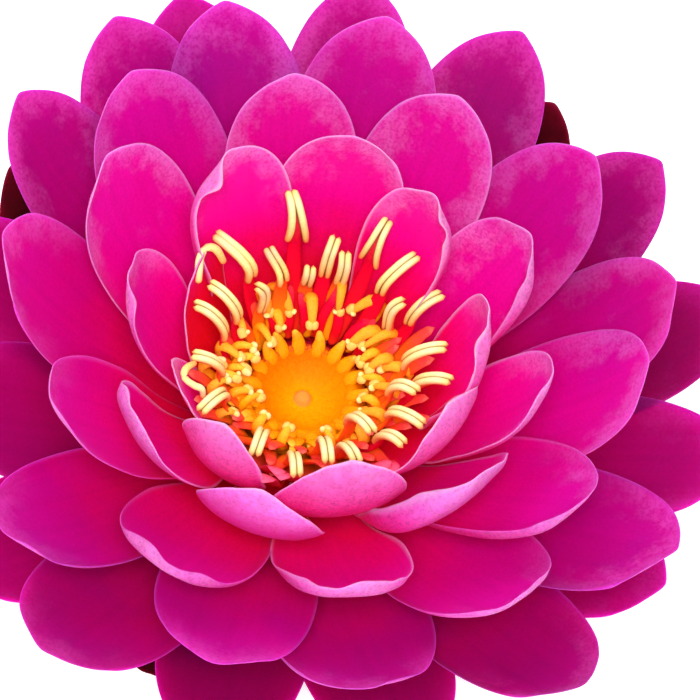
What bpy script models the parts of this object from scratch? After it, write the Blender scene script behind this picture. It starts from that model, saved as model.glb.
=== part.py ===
"""A water lily flower of many petals, cut with a short stalk and laid upright on a flat surface.

Lengths are in millimetres until make_object scales them to metres. The flower's axis is Z, the
surface that it rests on is z = 0, and azimuths run anticlockwise from +X, in degrees. Everything
is shaped round that axis, and make_object then moves it to its place over the origin.
"""

import math
from typing import NamedTuple

import bmesh
import bpy

MM = 0.001

# The flower leans out further to one side, so its axis stands off the middle of its outline,
# which is the origin.
AXIS_X = -4.0
AXIS_Y = -1.4

# The stalk, and the ovary that carries everything else on its side.
STALK_RADIUS = 4.6
STALK_TOP = 3.2
SEAT_GAP = 0.3
OVARY_FOOT = STALK_TOP + SEAT_GAP
OVARY_SIDE = [(5.2, OVARY_FOOT), (9.6, 6.5), (12.0, 11.5), (12.6, 16.5), (12.3, 20.4)]
STIGMA_RIM = (9.6, 24.0)
STIGMA_CUP = [(9.0, 24.1), (7.4, 22.6), (4.6, 20.7), (1.9, 19.9), (1.5, 20.6), (0.0, 21.2)]
TURNING_STEPS = 24

# The fingers round the rim of the stigma: the free ends of the carpels.
FINGERS = 18
FINGER_LENGTH = 3.6
FINGER_WIDTH = 1.5

# Petals sit in tiers down the ovary's side. Tier 0 is the highest and innermost.
TOP_TIER_Z = 19.9
TIER_STEP = 1.45
BASE_WIDTH = 5.4
BASE_CLEARANCE = 0.45
PETAL_THICKNESS = 0.9
ODD_TIER_BOW = 9.0
ODD_TIER_CUP = 0.8

# A petal's outline: where it is widest, where its side turns into its tip, and how blunt that is.
WIDEST = 0.62
CORNER = 0.72
BLUNTNESS = 2.3
POINT = 0.012
PETAL_ROWS = 9
PETAL_COLUMNS = 6

# The sepals leave the ovary's foot downwards, so that they lie on the surface and then turn up.
SEPAL_Z = 4.5
SEPAL_CLEARANCE = 1.0
SEPAL_START = -20.0
SEPAL_CUP = 50.0

# Each ring of stamens has a band of its own round the ovary's shoulder.
BAND_WIDTH = 1.15
BAND_DEPTH = 0.7
BAND_STEPS = 24
STAMEN_ROWS = 4


class Petal(NamedTuple):
    """Where one petal or sepal points, in degrees, its tip's place, its width and its tip's lean to a side."""

    azimuth: float
    reach: float
    height: float
    width: float
    tier: float
    bow: float = 0.0
    cup: float = 0.0
    sway: float = 0.0


class Ring(NamedTuple):
    """One ring of stamens: its place up the shoulder, the filaments' size and the ring's colour."""

    shoulder: float
    width: float
    thickness: float
    start: float
    colour: str


class Stamen(NamedTuple):
    """Where one stamen points, in degrees, and the reach and height of its tip."""

    azimuth: float
    reach: float
    height: float


# How far the petals of each ring bend along their length, and how deeply they are cupped.
WHORLS = {"heart": (55, 75), "inner": (50, 65), "middle": (42, 55), "outer": (34, 45), "lower": (22, 35)}

COLOURS = {
    "heart": "#EE0F93",
    "inner": "#E81292",
    "middle": "#D91793",
    "outer": "#C01585",
    "lower": "#9C0F66",
    "sepal": "#4A1226",
    "ovary": "#F09A10",
    "stalk": "#6B4A2C",
}

PETALS = {
    "heart": [
        Petal(136, 33, 56, 24, 0),
        Petal(97, 33.5, 56, 25, 1),
        Petal(64, 28.5, 56, 20, 0),
        Petal(10, 27.5, 55, 23, 1, bow=72),
        Petal(-26, 27, 53, 24, 0, bow=66),
        Petal(-68, 30, 54, 24, 1, bow=95),
        Petal(-111, 29, 53, 18, 0, bow=90),
        Petal(-142.5, 26, 42, 16, 1, bow=32),
        Petal(174, 24.5, 44, 19, 0, bow=45, cup=35, sway=-5),
    ],
    "inner": [
        Petal(-176, 34, 50, 22, 2),
        Petal(160.5, 45.5, 55, 28, 3),
        Petal(112, 46, 55, 26, 2),
        Petal(76, 49, 55, 26, 3),
        Petal(39.5, 40, 52, 24, 2),
        Petal(-3, 40, 54, 22, 2, bow=60),
        Petal(-36, 39.5, 53, 26, 3, bow=78),
        Petal(-68, 50, 48, 25, 3, bow=65),
        Petal(-92, 36.5, 52, 24, 2, bow=95),
        Petal(-131, 38.5, 52, 23, 2, bow=72),
    ],
    "middle": [
        Petal(143, 55, 55, 29, 5),
        Petal(94, 60, 55, 28, 4),
        Petal(49, 57, 55, 27, 4.6),
        Petal(22, 61, 54, 27, 5.8, bow=56),
        Petal(5.5, 55.5, 54, 28, 5.15, bow=56),
        Petal(-22.5, 55, 51, 26, 4.2, bow=38),
        Petal(-41, 60, 47, 27, 5, bow=50),
        Petal(-105.5, 53, 46, 27, 4, bow=54),
        Petal(-141.5, 49.5, 52, 25, 4),
        Petal(-174, 55, 55, 27, 5),
    ],
    "outer": [
        Petal(157, 67, 49, 25, 6),
        Petal(136.5, 70, 48, 28, 7),
        Petal(120, 66.5, 49, 28, 6),
        Petal(98, 71.5, 49, 26, 7),
        Petal(74, 72, 49, 27, 6),
        Petal(45, 70.5, 49, 26, 7.2),
        Petal(-19, 71, 46, 28, 6),
        Petal(-40, 75, 40, 27, 7),
        Petal(-67, 64, 39, 30, 6.7, bow=43, cup=36),
        Petal(-91.5, 62, 42, 28, 6.1),
        Petal(-112.5, 72.5, 38, 28, 7),
        Petal(-127, 66, 45.5, 25, 5.4, bow=34, cup=45),
    ],
    "lower": [
        Petal(123, 77, 38, 27, 8),
        Petal(25, 77.5, 36, 27, 9),
        Petal(3, 76, 34, 27, 8),
        Petal(-16, 71.5, 27, 27, 9),
        Petal(-60, 68, 22, 27, 9),
        Petal(-89, 68, 22, 27, 8),
        Petal(-133, 72, 26, 27, 9),
        Petal(-155, 66, 34, 29, 8),
        Petal(177, 68, 34, 27, 9),
    ],
}

SEPALS = [
    Petal(66.5, 75.5, 31, 26, 0),
    Petal(156, 69, 22, 26, 0),
    Petal(-103, 57, 13, 27, 0),
    Petal(-34, 58, 13, 27, 0),
]

RINGS = {
    "outer": Ring(0.1, 2.2, 0.8, 62, "#F4C25A"),
    "middle": Ring(1.6, 1.7, 0.8, 72, "#F7A21E"),
    "inner": Ring(3.1, 1.3, 0.8, 88, "#F79A12"),
}

STAMENS = {
    "outer": [
        Stamen(95, 25, 46),
        Stamen(116, 22, 42),
        Stamen(136, 24, 40),
        Stamen(157, 20.5, 37),
        Stamen(176, 21, 37),
        Stamen(-158, 20, 36),
        Stamen(-132, 20, 35),
        Stamen(-106, 20, 35),
        Stamen(-84, 21, 35),
        Stamen(-62, 21, 35),
        Stamen(-38, 22, 36),
        Stamen(-16, 24, 37),
        Stamen(4, 24, 38),
        Stamen(22, 24, 39),
        Stamen(40, 25, 40),
        Stamen(58, 23, 42),
        Stamen(76, 22, 43),
    ],
    "middle": [Stamen(360 / 20 * (i + 0.3), 16.5, 34.5) for i in range(20)],
    "inner": [Stamen(360 / 22 * (i + 0.6), 9.4, 29.0) for i in range(22)],
}


def clear_scene():
    """Takes out whatever the file holds, so that only the flower is left."""
    for obj in list(bpy.data.objects):
        bpy.data.objects.remove(obj)


def linear(channel):
    """One sRGB channel from 0 to 255 as the linear value that a shader takes."""
    value = channel / 255
    return value / 12.92 if value <= 0.04045 else ((value + 0.055) / 1.055) ** 2.4


def material(name, hex_colour, roughness):
    """A plain Principled material of one colour."""
    found = bpy.data.materials.get(name)
    if found:
        return found
    made = bpy.data.materials.new(name)
    made.use_nodes = True
    shader = made.node_tree.nodes["Principled BSDF"]
    channels = [int(hex_colour[i : i + 2], 16) for i in (1, 3, 5)]
    shader.inputs["Base Color"].default_value = (*map(linear, channels), 1.0)
    shader.inputs["Roughness"].default_value = roughness
    shader.inputs["Metallic"].default_value = 0.0
    return made


def make_object(name, bm, finish):
    """Turns a bmesh in millimetres into an object in metres with one material, shaded smooth."""
    bmesh.ops.translate(bm, vec=(AXIS_X, AXIS_Y, 0), verts=bm.verts)
    bmesh.ops.scale(bm, vec=(MM, MM, MM), verts=bm.verts)
    mesh = bpy.data.meshes.new(name)
    bm.to_mesh(mesh)
    bm.free()
    mesh.materials.append(finish)
    mesh.shade_smooth()
    mesh.set_sharp_from_angle(angle=math.radians(50))
    obj = bpy.data.objects.new(name, mesh)
    bpy.context.scene.collection.objects.link(obj)
    return obj


def ovary_radius(z):
    """The ovary's radius at a height on its side."""
    for (r0, z0), (r1, z1) in zip(OVARY_SIDE, OVARY_SIDE[1:]):
        if z <= z1:
            return r0 + (r1 - r0) * max(0.0, (z - z0) / (z1 - z0))
    return OVARY_SIDE[-1][0]


def arc_point(start, angle, bow, length, distance):
    """The point and heading at a distance along an arc in the (radius, height) plane.

    The arc leaves start at angle and turns by bow, both in radians, over its length.
    """
    turn = bow * distance / length
    curve = length / bow
    heading = angle + turn
    radius = start[0] + curve * (math.sin(heading) - math.sin(angle))
    height = start[1] - curve * (math.cos(heading) - math.cos(angle))
    return radius, height, heading


def placed(radius, sideways, height, azimuth):
    """A point given in a petal's own upright plane, turned to its azimuth in radians."""
    across, along = math.sin(azimuth), math.cos(azimuth)
    return radius * along - sideways * across, radius * across + sideways * along, height


def half_width(share, width):
    """Half of a petal's width at a share of its length, from its base to its tip."""
    half = width / 2
    if share <= WIDEST:
        swell = math.sin(math.pi / 2 * share / WIDEST) ** 1.25
        return BASE_WIDTH / 2 + (half - BASE_WIDTH / 2) * swell
    rest = (share - WIDEST) / (1 - WIDEST)
    return half * math.sqrt(max(0.0, 1 - rest**BLUNTNESS))


def tip_share(sideways, width):
    """How far along the petal its tip's outline is, at a distance from its midline."""
    inside = max(0.0, 1 - (2 * sideways / width) ** 2)
    return WIDEST + (1 - WIDEST) * inside ** (1 / BLUNTNESS)


def petal_flat(u, v, width):
    """A grid point of the flattened petal: (sideways in mm, share of the length).

    u runs from 0 at the base to 1 at the tip, and v from -1 to 1 across.
    """
    corner = WIDEST + (1 - WIDEST) * CORNER
    spread = math.sin(math.radians(62) * v) / math.sin(math.radians(62))
    sideways = half_width(corner * u, width) * spread
    edge = tip_share(half_width(corner, width) * spread, width)
    share = corner * u + (edge - corner) * u**1.6
    share += POINT * u**4 * max(0.0, 1 - abs(v) / 0.6) ** 2
    return sideways, share


def petal_sheet(petal, start, angle, bow, length, cup):
    """The petal's middle surface: a grid bent to its arc and cupped across."""
    bm = bmesh.new()
    bmesh.ops.create_grid(bm, x_segments=PETAL_COLUMNS, y_segments=PETAL_ROWS, size=1)
    azimuth = math.radians(petal.azimuth)
    for vert in bm.verts:
        u, v = (vert.co.y + 1) / 2, vert.co.x
        sideways, share = petal_flat(u, v, petal.width)
        radius, height, heading = arc_point(start, angle, bow, length, share * length)
        depth = math.sin(math.pi * min(1.0, 0.10 + 0.76 * share)) ** 0.7
        bend = cup * depth / petal.width
        rise = (1 - math.cos(sideways * bend)) / bend
        radius -= math.sin(heading) * rise
        height += math.cos(heading) * rise
        vert.co = placed(radius, math.sin(sideways * bend) / bend + petal.sway * share**2, height, azimuth)
    return bm


def thickened(obj, thickness):
    """Gives a sheet its thickness, thinner towards the tip and the margins."""
    group = obj.vertex_groups.new(name="thickness")
    columns, rows = PETAL_COLUMNS + 1, PETAL_ROWS + 1
    for index in range(columns * rows):
        row, column = divmod(index, columns)
        across = 2 * column / PETAL_COLUMNS - 1
        weight = (1 - 0.33 * row / PETAL_ROWS) * (1 - 0.5 * across**2)
        group.add([index], weight, "REPLACE")
    solidify = obj.modifiers.new("Thickness", "SOLIDIFY")
    solidify.thickness = thickness * MM
    solidify.offset = 0
    solidify.vertex_group = group.name


def make_petal(whorl, number, petal):
    """One petal, from its seat on the ovary to its tip."""
    bow, cup = WHORLS[whorl]
    if int(petal.tier) % 2:
        bow, cup = bow + ODD_TIER_BOW, cup * ODD_TIER_CUP
    bow, cup = math.radians(petal.bow or bow), math.radians(petal.cup or cup)
    seat = TOP_TIER_Z - TIER_STEP * petal.tier
    start = (ovary_radius(seat) + BASE_CLEARANCE, seat)
    chord = math.hypot(petal.reach - start[0], petal.height - seat)
    angle = math.atan2(petal.height - seat, petal.reach - start[0]) - bow / 2
    length = chord * (bow / 2) / math.sin(bow / 2)
    bm = petal_sheet(petal, start, angle, bow, length, cup)
    finish = material(f"petal_{whorl}", COLOURS[whorl], 0.55)
    thickened(make_object(f"petal_{whorl}_{number}", bm, finish), PETAL_THICKNESS)


def make_sepal(number, sepal):
    """One sepal: it leaves the ovary's foot downwards, lies on the surface and turns up."""
    start = (ovary_radius(SEPAL_Z) + SEPAL_CLEARANCE, SEPAL_Z)
    angle = math.radians(SEPAL_START)
    rise, run = sepal.height - start[1], sepal.reach - start[0]
    bow = 2 * (math.atan2(rise, run) - angle)
    length = math.hypot(rise, run) * (bow / 2) / math.sin(bow / 2)
    bm = petal_sheet(sepal, start, angle, bow, length, math.radians(SEPAL_CUP))
    finish = material("sepal", COLOURS["sepal"], 0.5)
    thickened(make_object(f"sepal_{number}", bm, finish), PETAL_THICKNESS)


def turned(profile, steps):
    """A solid of revolution about Z, from a profile of (radius, height) points."""
    bm = bmesh.new()
    verts = [bm.verts.new((radius, 0, height)) for radius, height in profile]
    edges = [bm.edges.new(pair) for pair in zip(verts, verts[1:])]
    if profile[0][0] > 0 and profile[-1][0] > 0:
        edges.append(bm.edges.new((verts[-1], verts[0])))
    bmesh.ops.spin(bm, geom=verts + edges, axis=(0, 0, 1), cent=(0, 0, 0), steps=steps, angle=math.tau)
    bmesh.ops.remove_doubles(bm, verts=bm.verts, dist=1e-3)
    bmesh.ops.recalc_face_normals(bm, faces=bm.faces)
    return bm


def add_ribbon(bm, points, width, azimuth):
    """Adds a flat ribbon along (radius, height) points, half a width to each side of its plane."""
    previous = None
    for index, (radius, height) in enumerate(points):
        half = width / 2 * (1 - 0.25 * index / len(points))
        pair = [bm.verts.new(placed(radius, side * half, height, azimuth)) for side in (-1, 1)]
        if previous:
            bm.faces.new((previous[0], previous[1], pair[1], pair[0]))
        previous = pair


def joined(obj, name, bm, thickness, finish):
    """Unites a set of ribbons, once they have their thickness, with the object that carries them."""
    ribbons = make_object(name, bm, finish)
    ribbons.hide_render = True
    ribbons.display_type = "WIRE"
    solidify = ribbons.modifiers.new("Thickness", "SOLIDIFY")
    solidify.thickness = thickness * MM
    solidify.offset = 0
    union = obj.modifiers.new("Union", "BOOLEAN")
    union.operation = "UNION"
    union.object = ribbons


def make_stalk():
    """The cut stalk that the flower stands on."""
    bottom, top = STALK_RADIUS - 0.2, STALK_RADIUS
    profile = [(0, 0), (bottom, 0), (top, 0.4), (top, STALK_TOP - 0.3), (bottom, STALK_TOP), (0, STALK_TOP)]
    make_object("stalk", turned(profile, TURNING_STEPS), material("stalk", COLOURS["stalk"], 0.6))


def make_ovary():
    """The ovary, with the hollow stigma on top and the fingers round its rim."""
    finish = material("ovary", COLOURS["ovary"], 0.45)
    profile = [(0, OVARY_FOOT), *OVARY_SIDE, STIGMA_RIM, *STIGMA_CUP]
    ovary = make_object("ovary", turned(profile, TURNING_STEPS), finish)
    radius, height = STIGMA_CUP[0]
    bm = bmesh.new()
    for number in range(FINGERS):
        azimuth = math.tau * number / FINGERS
        points = [
            (radius - 0.1, height - 1.0),
            (radius + 0.1, height + FINGER_LENGTH * 0.45),
            (radius - 0.9, height + FINGER_LENGTH * 0.8),
        ]
        add_ribbon(bm, points, FINGER_WIDTH, azimuth)
    joined(ovary, "finger_ribbons", bm, 0.9, finish)


def shoulder_point(along, outward):
    """A point up the ovary's shoulder, and out from it, in the (radius, height) plane."""
    (r0, z0), (r1, z1) = OVARY_SIDE[-1], STIGMA_RIM
    slope = math.hypot(r1 - r0, z1 - z0)
    up = ((r1 - r0) / slope, (z1 - z0) / slope)
    return r0 + up[0] * along + up[1] * outward, z0 + up[1] * along - up[0] * outward


def make_stamens(ring_name):
    """One ring of stamens, joined at their feet by the band that they grow from."""
    ring = RINGS[ring_name]
    finish = material(f"stamens_{ring_name}", ring.colour, 0.5)
    near, far = SEAT_GAP, SEAT_GAP + BAND_DEPTH
    low, high = ring.shoulder, ring.shoulder + BAND_WIDTH
    corners = [(low, far), (high, far), (high, near), (low, near)]
    band = turned([shoulder_point(*corner) for corner in corners], BAND_STEPS)
    stamens = make_object(f"stamens_{ring_name}", band, finish)
    start = shoulder_point((low + high) / 2, SEAT_GAP + BAND_DEPTH / 2)
    bm = bmesh.new()
    for stamen in STAMENS[ring_name]:
        rise, run = stamen.height - start[1], stamen.reach - start[0]
        angle = math.radians(ring.start)
        bow = 2 * (math.atan2(rise, run) - angle)
        length = math.hypot(rise, run) * (bow / 2) / math.sin(bow / 2)
        steps = [length * row / STAMEN_ROWS for row in range(STAMEN_ROWS + 1)]
        points = [arc_point(start, angle, bow, length, step)[:2] for step in steps]
        add_ribbon(bm, points, ring.width, math.radians(stamen.azimuth))
    joined(stamens, f"stamen_ribbons_{ring_name}", bm, ring.thickness, finish)


def main():
    """Builds the flower from the stalk upwards."""
    clear_scene()
    make_stalk()
    make_ovary()
    for number, sepal in enumerate(SEPALS, 1):
        make_sepal(number, sepal)
    for whorl, petals in PETALS.items():
        for number, petal in enumerate(petals, 1):
            make_petal(whorl, number, petal)
    for ring_name in RINGS:
        make_stamens(ring_name)


main()
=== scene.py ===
"""The looks of a many-petalled pink water lily flower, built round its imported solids.

Lengths are in millimetres until a mesh is handed over in metres. Everything is shaped round the
flower's own upright axis, which stands where the solid ovary stands, over a surface at z = 0.
Azimuths run anticlockwise from +X, in degrees.
"""

import logging
import math
from dataclasses import dataclass
from enum import Enum
from typing import Any, Callable, Optional

import bpy
import numpy as np
from mathutils import Matrix, Vector, noise


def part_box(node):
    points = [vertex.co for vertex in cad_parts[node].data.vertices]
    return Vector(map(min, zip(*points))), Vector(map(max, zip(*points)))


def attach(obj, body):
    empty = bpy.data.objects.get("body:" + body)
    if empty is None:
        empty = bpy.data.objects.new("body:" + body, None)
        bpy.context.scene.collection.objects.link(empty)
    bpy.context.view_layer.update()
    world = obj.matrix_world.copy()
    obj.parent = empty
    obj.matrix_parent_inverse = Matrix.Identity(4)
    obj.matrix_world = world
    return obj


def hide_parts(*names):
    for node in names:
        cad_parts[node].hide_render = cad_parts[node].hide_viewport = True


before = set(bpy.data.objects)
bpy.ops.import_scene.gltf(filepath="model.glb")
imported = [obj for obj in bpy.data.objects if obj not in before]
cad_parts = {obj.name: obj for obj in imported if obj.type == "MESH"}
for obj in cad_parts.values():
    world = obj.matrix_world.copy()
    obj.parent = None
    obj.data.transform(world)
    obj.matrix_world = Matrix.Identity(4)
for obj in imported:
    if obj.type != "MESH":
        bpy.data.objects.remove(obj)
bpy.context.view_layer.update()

LOG = logging.getLogger("water_lily")
MM = 0.001
Array = np.ndarray
Pair = tuple[float, float]
Place = tuple[float, float, float]
UP = np.array([0, 0, 1.0])


# ---------------------------------------------------------------- numbers and vectors


def linear(hex_colour: str) -> tuple[float, float, float, float]:
    """Turns an sRGB hex colour into the linear colour that a shader takes.

    Args:
        hex_colour: A colour such as "#F20187".

    Returns:
        The linear red, green and blue, and an alpha of 1.
    """
    channels = [int(hex_colour[i : i + 2], 16) / 255 for i in (1, 3, 5)]
    values = [c / 12.92 if c <= 0.04045 else ((c + 0.055) / 1.055) ** 2.4 for c in channels]
    return (*values, 1.0)


def smoothstep(low: float, high: float, value: Array) -> Array:
    """Rises smoothly from 0 at low to 1 at high."""
    share = np.clip((value - low) / (high - low), 0, 1)
    return share * share * (3 - 2 * share)


def strays(x: Array, y: Array, seed: float) -> Array:
    """Smooth noise of about -1 to 1 at each point of a grid."""
    found = [noise.noise(Vector((a, b, seed))) for a, b in zip(x.ravel(), y.ravel())]
    return np.array(found).reshape(x.shape)


def running_sum(values: Array, gaps: Array) -> Array:
    """Sums values over the gaps between them, from 0, along the last axis."""
    parts = (values[..., 1:] + values[..., :-1]) / 2 * gaps
    return np.concatenate([np.zeros_like(parts[..., :1]), np.cumsum(parts, axis=-1)], axis=-1)


def unit(vector: Array) -> Array:
    """The vector at length 1."""
    return vector / np.linalg.norm(vector)


def level(vector: Array) -> Array:
    """The vector's level direction, at length 1."""
    return unit(vector * (1, 1, 0))


def polar(azimuth: float, radius: float, height: float) -> Array:
    """A point about the flower's axis, in millimetres, from degrees and millimetres."""
    angle = math.radians(azimuth)
    return np.array([radius * math.cos(angle), radius * math.sin(angle), height])


def flower_axis() -> Pair:
    """Where the flower's axis stands in X and Y, in millimetres, from the solid ovary."""
    low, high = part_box("ovary")
    return (low.x + high.x) / 2 / MM, (low.y + high.y) / 2 / MM


AXIS_X, AXIS_Y = flower_axis()


def to_world(radius: Array, sideways: Array, height: Array, azimuth: Array) -> Array:
    """Places points given in an upright plane through the flower's axis.

    Args:
        radius: Distances out from the axis along the plane, in millimetres.
        sideways: Distances to the anticlockwise side of the plane.
        height: Heights above the surface.
        azimuth: The way that the plane points, in radians.

    Returns:
        Rows of x, y and z in metres.
    """
    along, across = np.cos(azimuth), np.sin(azimuth)
    x = AXIS_X + radius * along - sideways * across
    y = AXIS_Y + radius * across + sideways * along
    return np.stack([x, y, height + 0 * x], axis=-1) * MM


# ---------------------------------------------------------------- meshes


def deselect_all() -> None:
    """Leaves nothing selected, because an operator acts on all that is."""
    for obj in bpy.context.selected_objects:
        obj.select_set(False)


def select_only(obj: bpy.types.Object) -> None:
    """Selects one object and makes it the active one.

    Args:
        obj: The object to select.
    """
    deselect_all()
    bpy.context.view_layer.objects.active = obj
    obj.select_set(True)


def primitive(name: str, operator: Callable, **sizes: Any) -> bpy.types.Object:
    """Adds a primitive, ready to be shaped.

    Args:
        name: The new object's name.
        operator: The operator that adds the primitive.
        sizes: The operator's settings.

    Returns:
        The primitive's object.
    """
    deselect_all()
    operator(**sizes)
    made = bpy.context.active_object
    made.name = made.data.name = name
    return made


def coordinates(obj: bpy.types.Object) -> Array:
    """The object's vertices as rows of x, y and z.

    Args:
        obj: The object.

    Returns:
        One row for each vertex, in metres.
    """
    flat = np.empty(len(obj.data.vertices) * 3, np.float32)
    obj.data.vertices.foreach_get("co", flat)
    return flat.reshape(-1, 3).astype(float)


def set_coordinates(obj: bpy.types.Object, points: Array) -> None:
    """Moves the object's vertices to these points, in metres."""
    obj.data.vertices.foreach_set("co", points.astype(np.float32).ravel())
    obj.data.update()


def set_attribute(obj: bpy.types.Object, name: str, values: Array) -> None:
    """Stores one number for each vertex under a name that materials read."""
    attribute = obj.data.attributes.new(name, "FLOAT", "POINT")
    attribute.data.foreach_set("value", values.astype(np.float32))


def set_uv(obj: bpy.types.Object, across: Array, along: Array) -> None:
    """Gives the mesh a UV map from one pair of numbers for each vertex.

    Args:
        obj: The object.
        across: How far across the piece each vertex is.
        along: How far along the piece each vertex is.
    """
    mesh = obj.data
    layer = mesh.uv_layers.get("UVMap") or mesh.uv_layers.new(name="UVMap")
    corners = np.empty(len(mesh.loops), np.int32)
    mesh.loops.foreach_get("vertex_index", corners)
    pairs = np.stack([across, along], axis=1)[corners]
    layer.data.foreach_set("uv", pairs.astype(np.float32).ravel())


def apply_modifier(obj: bpy.types.Object, kind: str, **settings: Any) -> None:
    """Adds one modifier to the object and applies it.

    Args:
        obj: The object to change.
        kind: The modifier's type name.
        settings: The modifier's settings.
    """
    select_only(obj)
    modifier = obj.modifiers.new(kind.title(), kind)
    for name, value in settings.items():
        setattr(modifier, name, value)
    bpy.ops.object.modifier_apply(modifier=modifier.name)


def finish_shell(obj: bpy.types.Object, tissue: "Tissue") -> bpy.types.Object:
    """Turns a closed shell's faces outwards, smooths them and dresses it in its tissue.

    Args:
        obj: The shell.
        tissue: What it is made of.

    Returns:
        The same object.
    """
    obj.data.materials.append(tissue.build())
    select_only(obj)
    bpy.ops.object.mode_set(mode="EDIT")
    bpy.ops.mesh.select_all(action="SELECT")
    bpy.ops.mesh.normals_make_consistent(inside=False)
    bpy.ops.object.mode_set(mode="OBJECT")
    obj.data.shade_smooth()
    return obj


def joined(name: str, parts: list) -> bpy.types.Object:
    """Joins parts into the first of them, as one object with one mesh, and names it.

    Args:
        name: The name that the object gets.
        parts: The objects to join.

    Returns:
        The one object.
    """
    select_only(parts[0])
    for part in parts:
        part.select_set(True)
    bpy.ops.object.join()
    parts[0].name = parts[0].data.name = name
    return parts[0]


def hand_over(piece: bpy.types.Object, node: str) -> None:
    """Makes a piece ride on the flower in place of a solid, and hides the solid.

    Args:
        piece: The finished piece.
        node: The solid that it stands for.
    """
    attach(piece, "root")
    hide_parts(node)
    LOG.info("%s stands for %s, %d faces", piece.name, node, len(piece.data.polygons))


# ---------------------------------------------------------------- finishes


def feed(tree: bpy.types.NodeTree, node: bpy.types.Node, inputs: dict) -> None:
    """Sets a node's sockets, or links them.

    Args:
        tree: The node tree that the node is in.
        node: The node.
        inputs: Socket name or number to its value, or to the output socket that feeds it, or to a
            node, which feeds it from its first output.
    """
    for key, value in inputs.items():
        if isinstance(value, bpy.types.Node):
            value = value.outputs[0]
        if isinstance(value, bpy.types.NodeSocket):
            tree.links.new(value, node.inputs[key])
        else:
            node.inputs[key].default_value = value


def add_node(
    tree: bpy.types.NodeTree,
    kind: str,
    inputs: Optional[dict] = None,
    stops: Optional[list] = None,
    **settings: Any,
) -> bpy.types.Node:
    """Adds one shader node with its settings, values and incoming links.

    Args:
        tree: The node tree that it goes into.
        kind: The node's type name, without the ShaderNode that all of them start with.
        inputs: What each socket holds or is fed by, as feed takes it.
        stops: For a colour ramp, its (position, hex colour) stops.
        settings: The node's own settings.

    Returns:
        The new node.
    """
    made = tree.nodes.new(f"ShaderNode{kind}")
    for name, value in settings.items():
        setattr(made, name, value)
    feed(tree, made, inputs or {})
    if stops:
        ramp = made.color_ramp
        while len(ramp.elements) < len(stops):
            ramp.elements.new(1.0)
        for element, (position, colour) in zip(ramp.elements, stops):
            element.position = position
            element.color = linear(colour)
    return made


def span(low: float, high: float, start: float = 0.0, end: float = 1.0) -> dict:
    """The limits of a Map Range node, which turns low to high into start to end."""
    return {"From Min": low, "From Max": high, "To Min": start, "To Max": end}


SMOOTH = {"interpolation_type": "SMOOTHSTEP"}


@dataclass(frozen=True)
class Tissue:
    """Plant tissue of any kind. Its IOR of 1.4 is that of watery cells.

    Attributes:
        name: The material's name.
        stops: Colour stops along the piece, from base to tip.
    """

    name: str
    stops: list

    IOR = 1.4
    WANDER = 0.2

    def build(self) -> bpy.types.Material:
        """Makes the material once, and hands it out after that.

        Returns:
            The material.
        """
        made = bpy.data.materials.get(self.name)
        if not made:
            made = bpy.data.materials.new(self.name)
            made.use_nodes = True
            self.dress(made.node_tree, made.node_tree.nodes["Principled BSDF"])
        return made

    def dress(self, tree: bpy.types.NodeTree, shader: bpy.types.Node) -> None:
        """Makes what the tissue shows, which each kind of tissue has its own way for."""
        raise NotImplementedError

    def wandering(
        self, tree: bpy.types.NodeTree, blobs: bpy.types.Node, share: Any
    ) -> bpy.types.Node:
        """Lets the bands of colour wander a little along the piece.

        Args:
            tree: The material's node tree.
            blobs: The noise that they wander with.
            share: The node or socket that gives how far along the piece a place is.

        Returns:
            The node that gives how far along it counts as being.
        """
        wander = add_node(
            tree, "Math", {0: blobs, 1: self.WANDER, 2: -self.WANDER / 2}, operation="MULTIPLY_ADD"
        )
        return add_node(tree, "Math", {0: share, 1: wander}, operation="ADD")


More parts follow.
